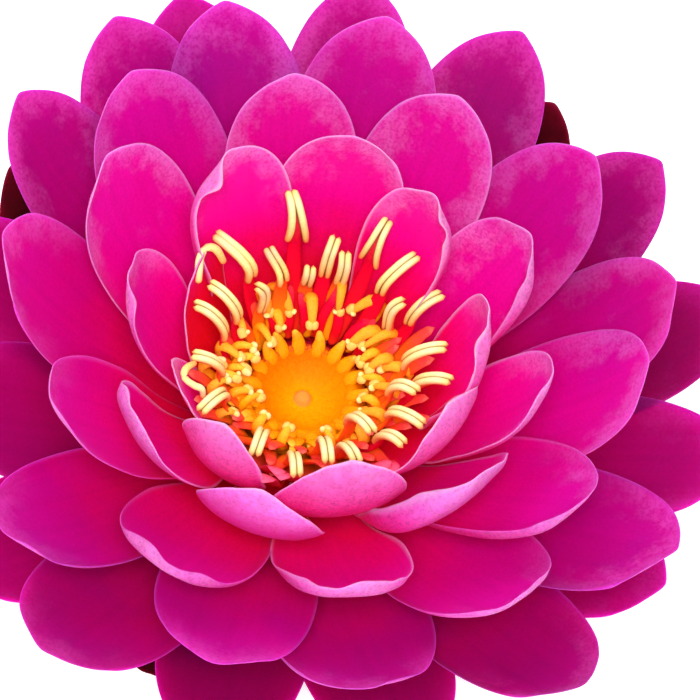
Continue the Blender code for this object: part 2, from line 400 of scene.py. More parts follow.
@dataclass(frozen=True)
class PetalTissue(Tissue):
    """Living petal tissue: a thin, soft, velvety skin over watery cells, so light sinks into it.

    It gives the eye a saturated colour that deepens to red at the base, pale blotches of painted
    sheen with fine dark specks round the tip, a paler cut edge painted as light shining through it,
    and hardly any gloss.

    Attributes:
        outside: Colour stops along the outside, from base to tip.
        margin: The colour of the cut edge, painted paler as light shining through the thin margin.
        edge_glow_amount: How much of that colour shows, from 0 to 1.
        painted_sheen: The colour of the painted sheen, a pale velvet highlight.
        painted_sheen_amount: How much of it shows, from 0 to 1.
    """

    outside: list
    margin: str
    edge_glow_amount: float
    painted_sheen: str
    painted_sheen_amount: float

    # The clouds and blotches of pigment are as wide as on a real petal.
    PATCH_MM = 9.0
    MOTTLE_MM = 2.2
    # Real skin cells are 0.03 mm across, too fine to show, so they are drawn this coarse.
    CELL_MM = 0.55
    # About 20 veins lie side by side, a millimetre or so apart.
    VEINS = (22.0, 1.6, 1.0)
    EDGE_GLOW_MM = 0.7
    SHEEN_MM = 9.0
    SHEEN_ALONG = (0.54, 0.92)
    SHEEN_INWARDS = (-0.45, 0.2)
    SHEEN_RETREAT = -4.0
    BLOTCHES = (0.55, 1.15)
    BLOTCH_DEPTH = 0.7
    SPECKS = (0.36, 0.52, 0.6)
    DOTS = (0.34, 0.5, 0.84)
    CLOUDS = (0.35, 0.65, 0.88, 1.08)
    GRAIN = (0.3, 0.7, 0.92, 1.04)
    VEIN_SHADE = (0.3, 0.7, 0.95, 1.03)
    VEIN_HEIGHT = 1.4

    def dress(self, tree: bpy.types.NodeTree, shader: bpy.types.Node) -> None:
        """Makes the bands of colour, the painted sheen, the edge, the fine grain and the velvet.

        Args:
            tree: The material's node tree.
            shader: Its shader.
        """
        uv = add_node(tree, "UVMap", uv_map="UVMap")
        share = add_node(tree, "SeparateXYZ", {0: uv}).outputs["Y"]
        place = add_node(tree, "TexCoord").outputs["Object"]
        face, edge, tone_and_painted_light, red_reach_and_shade = (
            add_node(tree, "Attribute", attribute_name=name).outputs["Fac"]
            for name in ("outside", "margin_mm", "tone_and_painted_light", "red_reach_and_shade")
        )
        # Veins run along the petal, so they are stretched many times longer than they are wide.
        stretched = add_node(tree, "VectorMath", {0: uv, 1: self.VEINS}, operation="MULTIPLY")
        patch, mottle, cell, vein = (
            add_node(tree, "TexNoise", {
                "Vector": where, "Scale": scale, "Detail": detail, "Roughness": roughness,
            })
            for where, scale, detail, roughness in (
                (place, 1 / (self.PATCH_MM * MM), 2.0, 0.6),
                (place, 1 / (self.MOTTLE_MM * MM), 3.0, 0.6),
                (place, 1 / (self.CELL_MM * MM), 2.0, 0.6),
                (stretched, 1.0, 2.0, 0.5),
            )
        )

        # The red base reaches further out on some petals, partly as painted shade on one side of
        # the flower.
        redder = add_node(tree, "Math", {0: share, 1: red_reach_and_shade}, operation="SUBTRACT")
        along = self.wandering(tree, patch, redder)
        inside = add_node(tree, "ValToRGB", {"Fac": along}, self.stops)
        outside = add_node(tree, "ValToRGB", {"Fac": along}, self.outside)

        # Painted sheen: a pale velvet highlight near the tip's margin, in blotches, broken by
        # specks of the deeper colour.
        outwards = add_node(
            tree, "Math", {0: red_reach_and_shade, 1: self.SHEEN_RETREAT, 2: share}, operation="MULTIPLY_ADD"
        )
        near_tip = add_node(
            tree, "MapRange", {"Value": outwards, **span(*self.SHEEN_ALONG)}, **SMOOTH
        )
        near_edge = add_node(
            tree, "MapRange", {"Value": edge, **span(self.SHEEN_MM, 0.0, *self.SHEEN_INWARDS)}
        )
        drift = add_node(tree, "Math", {0: near_edge, 1: patch}, operation="ADD")
        blotch = add_node(
            tree, "Math", {0: mottle, 1: self.BLOTCH_DEPTH, 2: drift}, operation="MULTIPLY_ADD"
        )
        patches = add_node(
            tree, "MapRange",
            {"Value": blotch, **span(*self.BLOTCHES, end=self.painted_sheen_amount)}, **SMOOTH,
        )
        specks = add_node(tree, "MapRange", {"Value": cell, **span(*self.SPECKS)}, **SMOOTH)
        speckled = add_node(tree, "Math", {0: patches, 1: specks}, operation="MULTIPLY")
        painted_sheen = add_node(tree, "Math", {0: near_tip, 1: speckled}, operation="MULTIPLY")
        sheened = add_node(
            tree, "Mix", {0: painted_sheen, 6: inside, 7: linear(self.painted_sheen)}, data_type="RGBA"
        )

        # The outside's bloom is clouded and dotted with the deeper colour too.
        dots = add_node(tree, "MapRange", {"Value": cell, **span(*self.DOTS)}, **SMOOTH)
        clouds = add_node(tree, "MapRange", {"Value": mottle, **span(*self.CLOUDS)})
        dotted = add_node(tree, "Math", {0: dots, 1: clouds}, operation="MULTIPLY")
        bloom = add_node(tree, "VectorMath", {0: outside, "Scale": dotted}, operation="SCALE")
        both = add_node(
            tree, "Mix", {0: face, 6: sheened.outputs[2], 7: bloom}, data_type="RGBA"
        )
        # Painted light: the cut edge is paler, as light shining through the thin margin.
        rim = add_node(
            tree, "MapRange", {"Value": edge, **span(self.EDGE_GLOW_MM, 0.0, end=self.edge_glow_amount)},
            **SMOOTH,
        )
        edge_lit = add_node(
            tree, "Mix", {0: rim, 6: both.outputs[2], 7: linear(self.margin)}, data_type="RGBA"
        )

        # Cells and veins darken the colour by a few hundredths, and each petal's own number makes
        # it lighter or darker: its own tone, and painted light and shade.
        grain = add_node(tree, "MapRange", {"Value": cell, **span(*self.GRAIN)})
        vein_shade = add_node(tree, "MapRange", {"Value": vein, **span(*self.VEIN_SHADE)})
        shade = add_node(tree, "Math", {0: grain, 1: vein_shade}, operation="MULTIPLY")
        depth = add_node(tree, "Math", {0: shade, 1: tone_and_painted_light}, operation="MULTIPLY")
        colour = add_node(
            tree, "VectorMath", {0: edge_lit.outputs[2], "Scale": depth}, operation="SCALE"
        )
        relief = add_node(
            tree, "Math", {0: vein, 1: self.VEIN_HEIGHT, 2: cell}, operation="MULTIPLY_ADD"
        )
        bump = add_node(tree, "Bump", {"Height": relief, "Strength": 0.3, "Distance": 0.1 * MM})
        feed(tree, shader, {
            "Base Color": colour,
            "Normal": bump,
            "Roughness": 0.6,
            "IOR": self.IOR,
            "Specular IOR Level": 0.05,
            "Subsurface Weight": 0.9,
            "Subsurface Radius": (3.0, 0.25, 1.6),
            "Subsurface Scale": 1.0 * MM,
            "Sheen Weight": 0.02,
            "Sheen Roughness": 0.45,
            "Sheen Tint": linear("#FF9AD8"),
        })


@dataclass(frozen=True)
class PlainTissue(Tissue):
    """Firm plant tissue with a fine grain and a moist skin.

    Attributes:
        groove: The colour in the grooves, where the piece has them.
        underside_shade: The colour of painted shade on the piece's underside.
        roughness: How dull the skin is.
        specular: How strongly it reflects.
        subsurface: How far light sinks in, from 0 to 1.
        grain_mm: The size of the grain. The real cells are 0.03 mm across, too fine to show, so
            they are drawn this coarse.
        relief: The grain's height, in millimetres.
    """

    groove: str
    underside_shade: str
    roughness: float
    specular: float
    subsurface: float
    grain_mm: float
    relief: float

    SHADE = (0.3, 0.7, 0.9, 1.06)

    def dress(self, tree: bpy.types.NodeTree, shader: bpy.types.Node) -> None:
        """Makes the colour along the piece, its grooves, the painted shade on its underside, and
        the grain.

        Args:
            tree: The material's node tree.
            shader: Its shader.
        """
        uv = add_node(tree, "UVMap", uv_map="UVMap")
        share = add_node(tree, "SeparateXYZ", {0: uv}).outputs["Y"]
        place = add_node(tree, "TexCoord").outputs["Object"]
        grain = add_node(tree, "TexNoise", {
            "Vector": place, "Scale": 1 / (self.grain_mm * MM), "Detail": 3.0, "Roughness": 0.6,
        })
        along = self.wandering(tree, grain, share)
        colour = add_node(tree, "ValToRGB", {"Fac": along}, self.stops).outputs[0]
        for part, tint in (("groove", self.groove), ("underside_shade", self.underside_shade)):
            amount = add_node(tree, "Attribute", attribute_name=part).outputs["Fac"]
            mix = add_node(tree, "Mix", {0: amount, 6: colour, 7: linear(tint)}, data_type="RGBA")
            colour = mix.outputs[2]
        shade = add_node(tree, "MapRange", {"Value": grain, **span(*self.SHADE)})
        shaded = add_node(tree, "VectorMath", {0: colour, "Scale": shade}, operation="SCALE")
        bump = add_node(
            tree, "Bump", {"Height": grain, "Strength": 0.5, "Distance": self.relief * MM}
        )
        feed(tree, shader, {
            "Base Color": shaded,
            "Normal": bump,
            "Roughness": self.roughness,
            "IOR": self.IOR,
            "Specular IOR Level": self.specular,
            "Subsurface Weight": self.subsurface,
            "Subsurface Radius": (1.0, 0.5, 0.2),
            "Subsurface Scale": 0.8 * MM,
        })


# Each ring has its own copy of the petal tissue, lighter in the heart and darker underneath: the
# petals' own colour with painted light and shade.
# The bloom on the outside of the upper petals: paler and bluer than their inside.
OUTSIDE = [
    (0.0, "#E0206C"), (0.45, "#E81882"), (0.68, "#F0309C"), (0.84, "#F25CB6"), (1.0, "#F080C8"),
]
# The youngest petals are painted the lightest, as light falling straight into them, and glow red
# where they meet the stamens.
HEART_PETAL = PetalTissue(
    "heart_petal_tissue",
    [(0.0, "#E4081C"), (0.3, "#E80434"), (0.46, "#F00264"), (0.64, "#F40496"), (0.85, "#EE16A2")],
    OUTSIDE, "#FFA4DC", 0.75, "#F888D0", 0.72,
)
# A little deeper than the heart petals, with the same pale painted sheen at the rim.
INNER_PETAL = PetalTissue(
    "inner_petal_tissue",
    [(0.0, "#E80430"), (0.28, "#E80250"), (0.44, "#EC007A"), (0.62, "#E80092"), (0.85, "#E00C9A")],
    OUTSIDE, "#F08CD0", 0.6, "#F078C8", 0.68,
)
# Grown petals: deeper magenta, with a finer painted sheen and a thin edge.
MIDDLE_PETAL = PetalTissue(
    "middle_petal_tissue",
    [(0.0, "#E80228"), (0.26, "#E80044"), (0.44, "#E0006C"), (0.62, "#D00084"), (0.85, "#C40690")],
    OUTSIDE, "#CE58AC", 0.32, "#D462BC", 0.55,
)
# Older petals: purple towards the tip, and painted crimson as the shade of the tiers above.
OUTER_PETAL = PetalTissue(
    "outer_petal_tissue",
    [(0.0, "#CC022C"), (0.26, "#CC0044"), (0.46, "#C40060"), (0.66, "#AA0074"), (0.88, "#96067C")],
    [(0.0, "#B03080"), (0.6, "#C0389A"), (1.0, "#D058B0")], "#943090", 0.45, "#BC54B0", 0.55,
)
# The oldest petals: a deeper wine, painted darker as the shade under the rest, with hardly any
# painted sheen.
LOWER_PETAL = PetalTissue(
    "lower_petal_tissue",
    [(0.0, "#840230"), (0.4, "#8C0048"), (0.7, "#820058"), (1.0, "#780460")],
    [(0.0, "#7A2058"), (0.6, "#902470"), (1.0, "#B04494")], "#822074", 0.12, "#842C80", 0.4,
)
# The bud's tough cover: maroon inside, painted nearly black as the shade under the petals, olive
# towards its foot outside.
SEPAL_TISSUE = PetalTissue(
    "sepal_tissue",
    [(0.0, "#3A2410"), (0.5, "#26060C"), (1.0, "#140104")],
    [(0.0, "#3C3216"), (0.5, "#2E0C12"), (1.0, "#1C0308")], "#2C0810", 0.3, "#300A12", 0.3,
)
# Pollen sacs: dull cream yellow and powdery, with painted orange shade on the undersides, dark in
# the slits.
ANTHER = PlainTissue(
    "anther_pollen_sac",
    [(0.0, "#FF9450"), (0.2, "#FFCC78"), (0.5, "#FFECA0"), (0.8, "#FFF0B4"), (0.92, "#FFE090"),
     (1.0, "#F8B468")],
    "#8E6C22", "#F08848", 0.8, 0.05, 0.2, 0.35, 0.1,
)
# The small pale sacs of the bent stamens, which are still shut and plump.
SMALL_ANTHER = PlainTissue(
    "small_anther_pollen_sac",
    [(0.0, "#FFD468"), (0.4, "#FFF0A0"), (1.0, "#FFF6BC")],
    "#F0B850", "#FFCC68", 0.8, 0.05, 0.25, 0.35, 0.06,
)
# Filaments that are half petal: the red of the petals' bases, thin and soft.
OUTER_FILAMENT = PlainTissue(
    "petal_like_stamen_filament",
    [(0.0, "#F03010"), (0.3, "#E40C20"), (0.7, "#E00438"), (1.0, "#F03848")],
    "#C80428", "#C80428", 0.6, 0.05, 0.4, 0.6, 0.05,
)
# Barren filaments: orange at the foot, coral at the tip, with a moist skin.
BROAD_FILAMENT = PlainTissue(
    "broad_stamen_filament",
    [(0.0, "#FFA010"), (0.35, "#FF8410"), (0.65, "#FF5A1C"), (0.9, "#FA4444"), (1.0, "#FF7060")],
    "#F05A14", "#F05A1C", 0.5, 0.1, 0.4, 0.6, 0.05,
)
# Broad blades in front: coral to pink, between a filament and a petal.
PETAL_BLADE = PlainTissue(
    "petal_like_blade",
    [(0.0, "#FF8A18"), (0.2, "#FF6A28"), (0.45, "#FF4840"), (0.75, "#F83058"), (1.0, "#FF6088")],
    "#F84048", "#FF5048", 0.55, 0.05, 0.5, 0.6, 0.05,
)
# Fleshy orange filaments that bend over.
MIDDLE_FILAMENT = PlainTissue(
    "middle_stamen_filament",
    [(0.0, "#F88A08"), (0.5, "#FF9C14"), (1.0, "#FFB83C")],
    "#F07808", "#F88408", 0.5, 0.1, 0.4, 0.6, 0.05,
)
# The innermost filaments and the stigma's fingers: firm and golden.
INNER_FILAMENT = PlainTissue(
    "inner_stamen_filament",
    [(0.0, "#F89408"), (0.6, "#FFA60C"), (1.0, "#FFC440")],
    "#F08808", "#FA9408", 0.5, 0.1, 0.4, 0.6, 0.05,
)
# The ovary's side, its red shoulder, and the waxy golden bowl with its orange knob.
STIGMA = PlainTissue(
    "stigma_tissue",
    [(0.0, "#8A5A10"), (0.36, "#90082C"), (0.42, "#B01828"), (0.47, "#E07000"), (0.6, "#EC8400"),
     (0.8, "#F69600"), (0.93, "#FAA000"), (1.0, "#FF9440")],
    "#E67C00", "#E67C00", 0.6, 0.05, 0.35, 0.5, 0.09,
)
# A cut stalk: pale spongy flesh at the cut, a firm brown red skin on its side, and air canals
# painted dark as the shade deep inside them.
STALK_TISSUE = PlainTissue(
    "stalk_tissue",
    [(0.0, "#C8BE86"), (0.3, "#BCA868"), (0.42, "#6E5A30"), (0.6, "#74482C"), (1.0, "#683426")],
    "#3A2A14", "#5A3A20", 0.5, 0.2, 0.3, 0.7, 0.06,
)


# ---------------------------------------------------------------- petals and sepals


@dataclass(frozen=True)
class Ovary:
    """The sides of the ovary that petals and stamens grow from.

    Attributes:
        heights: Heights up the ovary, in millimetres.
        radii: Its radius at each of them.
    """

    heights: tuple = (3.5, 6.5, 11.5, 16.5, 20.4, 24.0)
    radii: tuple = (5.2, 9.6, 12.0, 12.6, 12.3, 9.6)

    def radius(self, height: float) -> float:
        """The ovary's radius at a height."""
        return float(np.interp(height, self.heights, self.radii))

    def shoulder(self, along: float) -> Pair:
        """The (radius, height) of a point a distance up the shoulder under the stigma's rim.

        Args:
            along: The distance from the rim, in millimetres.

        Returns:
            Its radius and height, in millimetres.
        """
        low = np.array([self.radii[-2], self.heights[-2]])
        high = np.array([self.radii[-1], self.heights[-1]])
        point = low + (high - low) * along / np.hypot(*(high - low))
        return float(point[0]), float(point[1])


OVARY = Ovary()


@dataclass(frozen=True)
class Curve:
    """A curve in an upright plane, from a seat to a tip, that bends as a list of headings says.

    Attributes:
        radius: Distance from the axis at even steps from share 0 to 1.04, in millimetres.
        height: Height at each step.
        heading: Angle above the horizontal at each step, in radians.
        length: The length from the seat to the tip, at share 1.
    """

    radius: Array
    height: Array
    heading: Array
    length: float

    STEPS = np.linspace(0, 1.04, 209)

    @classmethod
    def between(cls, seat: Pair, tip: Pair, turning: Array) -> "Curve":
        """Fits a curve of a given turning between a seat and a tip.

        Args:
            seat: The (radius, height) where the curve starts.
            tip: The (radius, height) where share 1 lies.
            turning: Headings relative to any start, at the curve's steps.

        Returns:
            The curve, turned and scaled so that it ends at the tip.
        """
        step = cls.STEPS[1] - cls.STEPS[0]
        run, rise = (running_sum(part(turning), step) for part in (np.cos, np.sin))
        end = np.array([np.interp(1, cls.STEPS, run), np.interp(1, cls.STEPS, rise)])
        chord = np.array([tip[0] - seat[0], tip[1] - seat[1]])
        length = float(np.hypot(*chord) / np.hypot(*end))
        turn = math.atan2(chord[1], chord[0]) - math.atan2(end[1], end[0])
        radius = seat[0] + length * (run * math.cos(turn) - rise * math.sin(turn))
        height = seat[1] + length * (run * math.sin(turn) + rise * math.cos(turn))
        return cls(radius, height, turning + turn, length)

    def at(self, share: Array) -> list:
        """The radius, height and heading at these shares of the length."""
        lines = (self.radius, self.height, self.heading)
        return [np.interp(share, self.STEPS, line) for line in lines]


class Whorl(Enum):
    """A ring of petals or sepals, from the stamens outwards."""

    HEART = ("heart_petal", "petal_heart", 55, 75, HEART_PETAL)
    INNER = ("inner_petal", "petal_inner", 50, 65, INNER_PETAL)
    MIDDLE = ("middle_petal", "petal_middle", 42, 55, MIDDLE_PETAL)
    OUTER = ("outer_petal", "petal_outer", 34, 45, OUTER_PETAL)
    LOWER = ("lower_petal", "petal_lower", 22, 35, LOWER_PETAL)
    SEPAL = ("maroon_sepal", "sepal", 80, 50, SEPAL_TISSUE)

    def __init__(self, piece: str, node: str, bow: int, cup: int, tissue: PetalTissue) -> None:
        """Names the ring's values.

        Args:
            piece: What its pieces are called, before their numbers.
            node: What its solids are called, before their numbers.
            bow: How far its petals bend along their length, in degrees.
            cup: How far they bend across.
            tissue: What they are made of.
        """
        self.piece, self.node = piece, node
        self.bow, self.cup, self.tissue = bow, cup, tissue


@dataclass(frozen=True)
class Petal:
    """One petal or sepal, from its seat on the ovary to its tip.

    Attributes:
        azimuth: The way that it points, in degrees.
        reach: How far from the axis its tip is.
        height: How high its tip is.
        width: Its width at the widest.
        tier: Its place down the ovary, from 0 at the top. Odd tiers lie outside their neighbours.
        bow: How far it bends along its length, in degrees, or 0 for its ring's own bend.
        cup: How far it bends across, or 0 for its ring's own.
        hook: How far its last part curls inwards besides.
        rim: How far its margin turns up all round its outer half, in millimetres.
        left: How much further the anticlockwise margin turns up.
        right: How much further the clockwise margin turns up.
        sway: How far its tip leans to the anticlockwise side, in millimetres.
        tone_and_painted_light: How light its colour is: its own tone, and painted light and shade
            for how lit it stands.
        red: How much further out its red base reaches, as a share of its length.
    """

    azimuth: float
    reach: float
    height: float
    width: float
    tier: float
    bow: float = 0.0
    cup: float = 0.0
    hook: float = 0.0
    rim: float = 0.25
    left: float = 0.0
    right: float = 0.0
    sway: float = 0.0
    tone_and_painted_light: float = 1.0
    red: float = 0.0

    COLUMNS = 20
    ROWS = 26
    THICKNESS = 0.8
    BASE_WIDTH = 5.4
    WIDEST = 0.62
    CORNER = 0.72
    BLUNTNESS = 2.3
    SLENDER = 1.25
    SPREAD = math.radians(62)
    POINT = 0.02
    POINT_WIDTH = 0.55
    RIM_MM = 3.2
    ROLL = 0.35
    RUFFLE = 0.5
    FINE_RUFFLE = 0.4
    HOOK_START = 0.6
    ODD_BOW = 9
    ODD_CUP = 0.8
    # Painted shade: the red base reaches further out on one side of the flower, as deep shade and
    # red light between the petals, and less far on the other.
    PAINTED_SHADE_SIDE = -95
    REDDER = 0.05
    LESS_RED = 0.04
    TOP_TIER = 19.9
    TIER_STEP = 1.45
    SUNK = 0.1

    def seat(self) -> Pair:
        """The (radius, height) where the petal leaves the ovary."""
        height = self.TOP_TIER - self.TIER_STEP * self.tier
        return OVARY.radius(height) - self.SUNK, height

    def shape(self, whorl: Whorl) -> Pair:
        """The petal's bow and cup in radians, its own or its ring's.

        Args:
            whorl: The ring that the petal belongs to.

        Returns:
            The bow and the cup.
        """
        bow, cup = whorl.bow, whorl.cup
        if int(self.tier) % 2:
            bow, cup = bow + self.ODD_BOW, cup * self.ODD_CUP
        return math.radians(self.bow or bow), math.radians(self.cup or cup)

    def half_width(self, share: Array) -> Array:
        """Half of the flattened petal's width at each share of its length.

        Args:
            share: Shares of the length, from 0 at the base to 1 at the tip.

        Returns:
            The half widths, in millimetres.
        """
        half = self.width / 2
        swell = np.sin(np.pi / 2 * np.clip(share / self.WIDEST, 0, 1)) ** self.SLENDER
        lower = self.BASE_WIDTH / 2 + (half - self.BASE_WIDTH / 2) * swell
        rest = np.clip((share - self.WIDEST) / (1 - self.WIDEST), 0, 1)
        return np.where(share <= self.WIDEST, lower, half * np.sqrt(1 - rest**self.BLUNTNESS))

    def outline(self, u: Array, v: Array) -> tuple[Array, Array]:
        """Where grid points lie on the flattened petal.

        Args:
            u: 0 at the base to 1 at the tip.
            v: -1 to 1 across.

        Returns:
            Distances from the midline in millimetres, and shares of the length.
        """
        corner = self.WIDEST + (1 - self.WIDEST) * self.CORNER
        spread = np.sin(self.SPREAD * v) / math.sin(self.SPREAD)
        sideways = self.half_width(corner * u) * spread
        across = self.half_width(np.array(corner)) * spread / (self.width / 2)
        edge = self.WIDEST + (1 - self.WIDEST) * (1 - across**2) ** (1 / self.BLUNTNESS)
        share = corner * u + (edge - corner) * u**1.6
        point = np.clip(1 - np.abs(v) / self.POINT_WIDTH, 0, 1) ** 2
        return sideways, share + self.POINT * u**4 * point

    def across(self, sideways: Array, share: Array, cup: float) -> list:
        """Bends the petal across into a cup.

        Args:
            sideways: Grid of distances from the midline, one row for each step along.
            share: Grid of shares of the length.
            cup: The cup's bend across the whole width, in radians.

        Returns:
            The bent distances from the midline, and the rises above it.
        """
        depth = np.sin(np.pi * np.clip(0.10 + 0.76 * share, 0, 1)) ** 0.7
        slope = cup * depth / self.width * sideways
        middle = sideways.shape[1] // 2
        gaps = np.diff(sideways, axis=1)
        sums = [running_sum(part(slope), gaps) for part in (np.cos, np.sin)]
        return [row - row[:, middle : middle + 1] for row in sums]

    def turned_up(self, u: Array, v: Array, margin: Array, seed: float) -> Array:
        """How far the margin turns up at each grid point, more here and less there.

        Args:
            u: How far along the petal each point is.
            v: How far across it each point is, from -1 to 1.
            margin: How far each point is from the margin, in millimetres.
            seed: Where in the wavering it starts.

        Returns:
            The rises, in millimetres.
        """
        left, right = self.left * smoothstep(0, 0.6, v), self.right * smoothstep(0, 0.6, -v)
        near = np.clip(1 - margin / self.RIM_MM, 0, 1) ** 2
        swell = 1 + 0.9 * strays(u * 2.2, v * 1.6, seed + 3.5)
        return (self.rim + left + right) * swell * near * smoothstep(0.25, 0.6, u)

    def waves(self, u: Array, v: Array, seed: float) -> Array:
        """How far each grid point strays from the smooth sheet, in millimetres.

        Args:
            u: How far along the petal each point is.
            v: How far across it each point is, from -1 to 1.
            seed: Where in the wavering it starts.

        Returns:
            The strays.
        """
        edge = np.maximum(np.abs(v), smoothstep(0.5, 1.0, u)) ** 3
        fine = self.FINE_RUFFLE * strays(u * 7.0, v * 4.0, seed + 1)
        sway = strays(u * 2.6, v * 1.5, seed) + fine
        return sway * (0.25 + self.RUFFLE * edge) * smoothstep(0.05, 0.4, u)

    def curve(self, whorl: Whorl) -> tuple[Curve, float]:
        """The petal's midline and its cup.

        Args:
            whorl: The ring that the petal belongs to.

        Returns:
            The midline, and the cup in radians.
        """
        bow, cup = self.shape(whorl)
        last_part = np.clip((Curve.STEPS - self.HOOK_START) / (1 - self.HOOK_START), 0, None)
        turning = bow * Curve.STEPS + math.radians(self.hook) * last_part**2
        return Curve.between(self.seat(), (self.reach, self.height), turning), cup

    def red_reach_and_shade(self, whorl: Whorl) -> float:
        """How much further out its red base reaches in the end: its own reach, and painted shade
        that reaches further on one side of the flower.

        Args:
            whorl: The ring that the petal belongs to.

        Returns:
            A share of its length.
        """
        if whorl is Whorl.HEART:
            return self.red
        # Painted shade on one side of the flower, less red on the other.
        side = math.cos(math.radians(self.azimuth - self.PAINTED_SHADE_SIDE))
        return self.red + self.REDDER * max(side, 0) - self.LESS_RED * max(-side, 0)

    def margin_distance(self, sideways: Array, share: Array, length: float) -> Array:
        """Roughly how far each grid point is from the petal's margin, in millimetres.

        Args:
            sideways: Distances from the midline, in millimetres.
            share: How far along the petal each point is.
            length: The petal's length, in millimetres.

        Returns:
            The distances.
        """
        side = self.half_width(np.clip(share, 0, 0.985)) - np.abs(sideways)
        inside = np.clip(1 - (2 * sideways / self.width) ** 2, 0, 1) ** (1 / self.BLUNTNESS)
        tip = (self.WIDEST + (1 - self.WIDEST) * inside - share) * length
        return np.clip(np.minimum(side, np.where(share > 0.5, tip, 99)), 0, 9)

    def build(self, whorl: Whorl, number: int) -> bpy.types.Object:
        """Models the petal as a thin closed sheet.

        Args:
            whorl: The ring that it belongs to.
            number: Its number in the ring, which also settles how it waves.

        Returns:
            The petal's object.
        """
        petal = primitive(
            f"{whorl.piece}_{number}", bpy.ops.mesh.primitive_grid_add,
            x_subdivisions=self.COLUMNS, y_subdivisions=self.ROWS, size=2,
        )
        flat = coordinates(petal)
        order = np.lexsort((flat[:, 0], flat[:, 1]))
        rank = np.argsort(order)
        shape = (self.ROWS + 1, self.COLUMNS + 1)
        u = ((flat[order, 1] + 1) / 2).reshape(shape)
        v = flat[order, 0].reshape(shape)
        sideways, share = self.outline(u, v)
        curve, cup = self.curve(whorl)
        radius, height, heading = curve.at(share)
        bent, rise = self.across(sideways, share, cup)
        margin = self.margin_distance(sideways, share, curve.length)
        seed = 7.3 * number + 31 * whorl.bow
        turned_up = self.turned_up(u, v, margin, seed)
        rise = rise + self.waves(u, v, seed) + turned_up
        bent = bent - self.ROLL * turned_up * v
        bent = bent + self.sway * share**2
        radius = radius - np.sin(heading) * rise
        height = height + np.cos(heading) * rise
        points = to_world(radius, bent, height, math.radians(self.azimuth))
        set_coordinates(petal, points.reshape(-1, 3)[rank])
        set_attribute(petal, "margin_mm", margin.ravel()[rank])
        set_attribute(petal, "tone_and_painted_light", np.full(len(rank), self.tone_and_painted_light))
        set_attribute(petal, "red_reach_and_shade", np.full(len(rank), self.red_reach_and_shade(whorl)))
        set_uv(petal, (v.ravel()[rank] + 1) / 2, share.ravel()[rank])
        self.thicken(petal, u.ravel()[rank], v.ravel()[rank])
        petal.data.materials.append(whorl.tissue.build())
        petal.data.shade_smooth()
        return petal

    def thicken(self, petal: bpy.types.Object, u: Array, v: Array) -> None:
        """Gives the sheet its thickness, thin at the margins, and marks which face is which.

        Args:
            petal: The sheet.
            u: How far along each vertex is, from 0 to 1.
            v: How far across it is, from -1 to 1.
        """
        group = petal.vertex_groups.new(name="thickness")
        weights = (1 - 0.4 * u) * (1 - 0.5 * np.abs(v) ** 3) * (1 - 0.4 * smoothstep(0.85, 1.0, u))
        for index, weight in enumerate(weights):
            group.add([index], float(weight), "REPLACE")
        apply_modifier(
            petal, "SOLIDIFY", thickness=self.THICKNESS * MM, offset=0, vertex_group=group.name
        )
        outside = np.zeros(len(petal.data.vertices))
        outside[: len(u)] = 1
        set_attribute(petal, "outside", outside)
        apply_modifier(petal, "SUBSURF", levels=1, render_levels=1)
        petal.vertex_groups.clear()


class Sepal(Petal):
    """A sepal: it leaves the ovary's foot downwards, lies on the surface and turns up."""

    def seat(self) -> Pair:
        """The (radius, height) where the sepal leaves the ovary."""
        return 6.8, 4.5


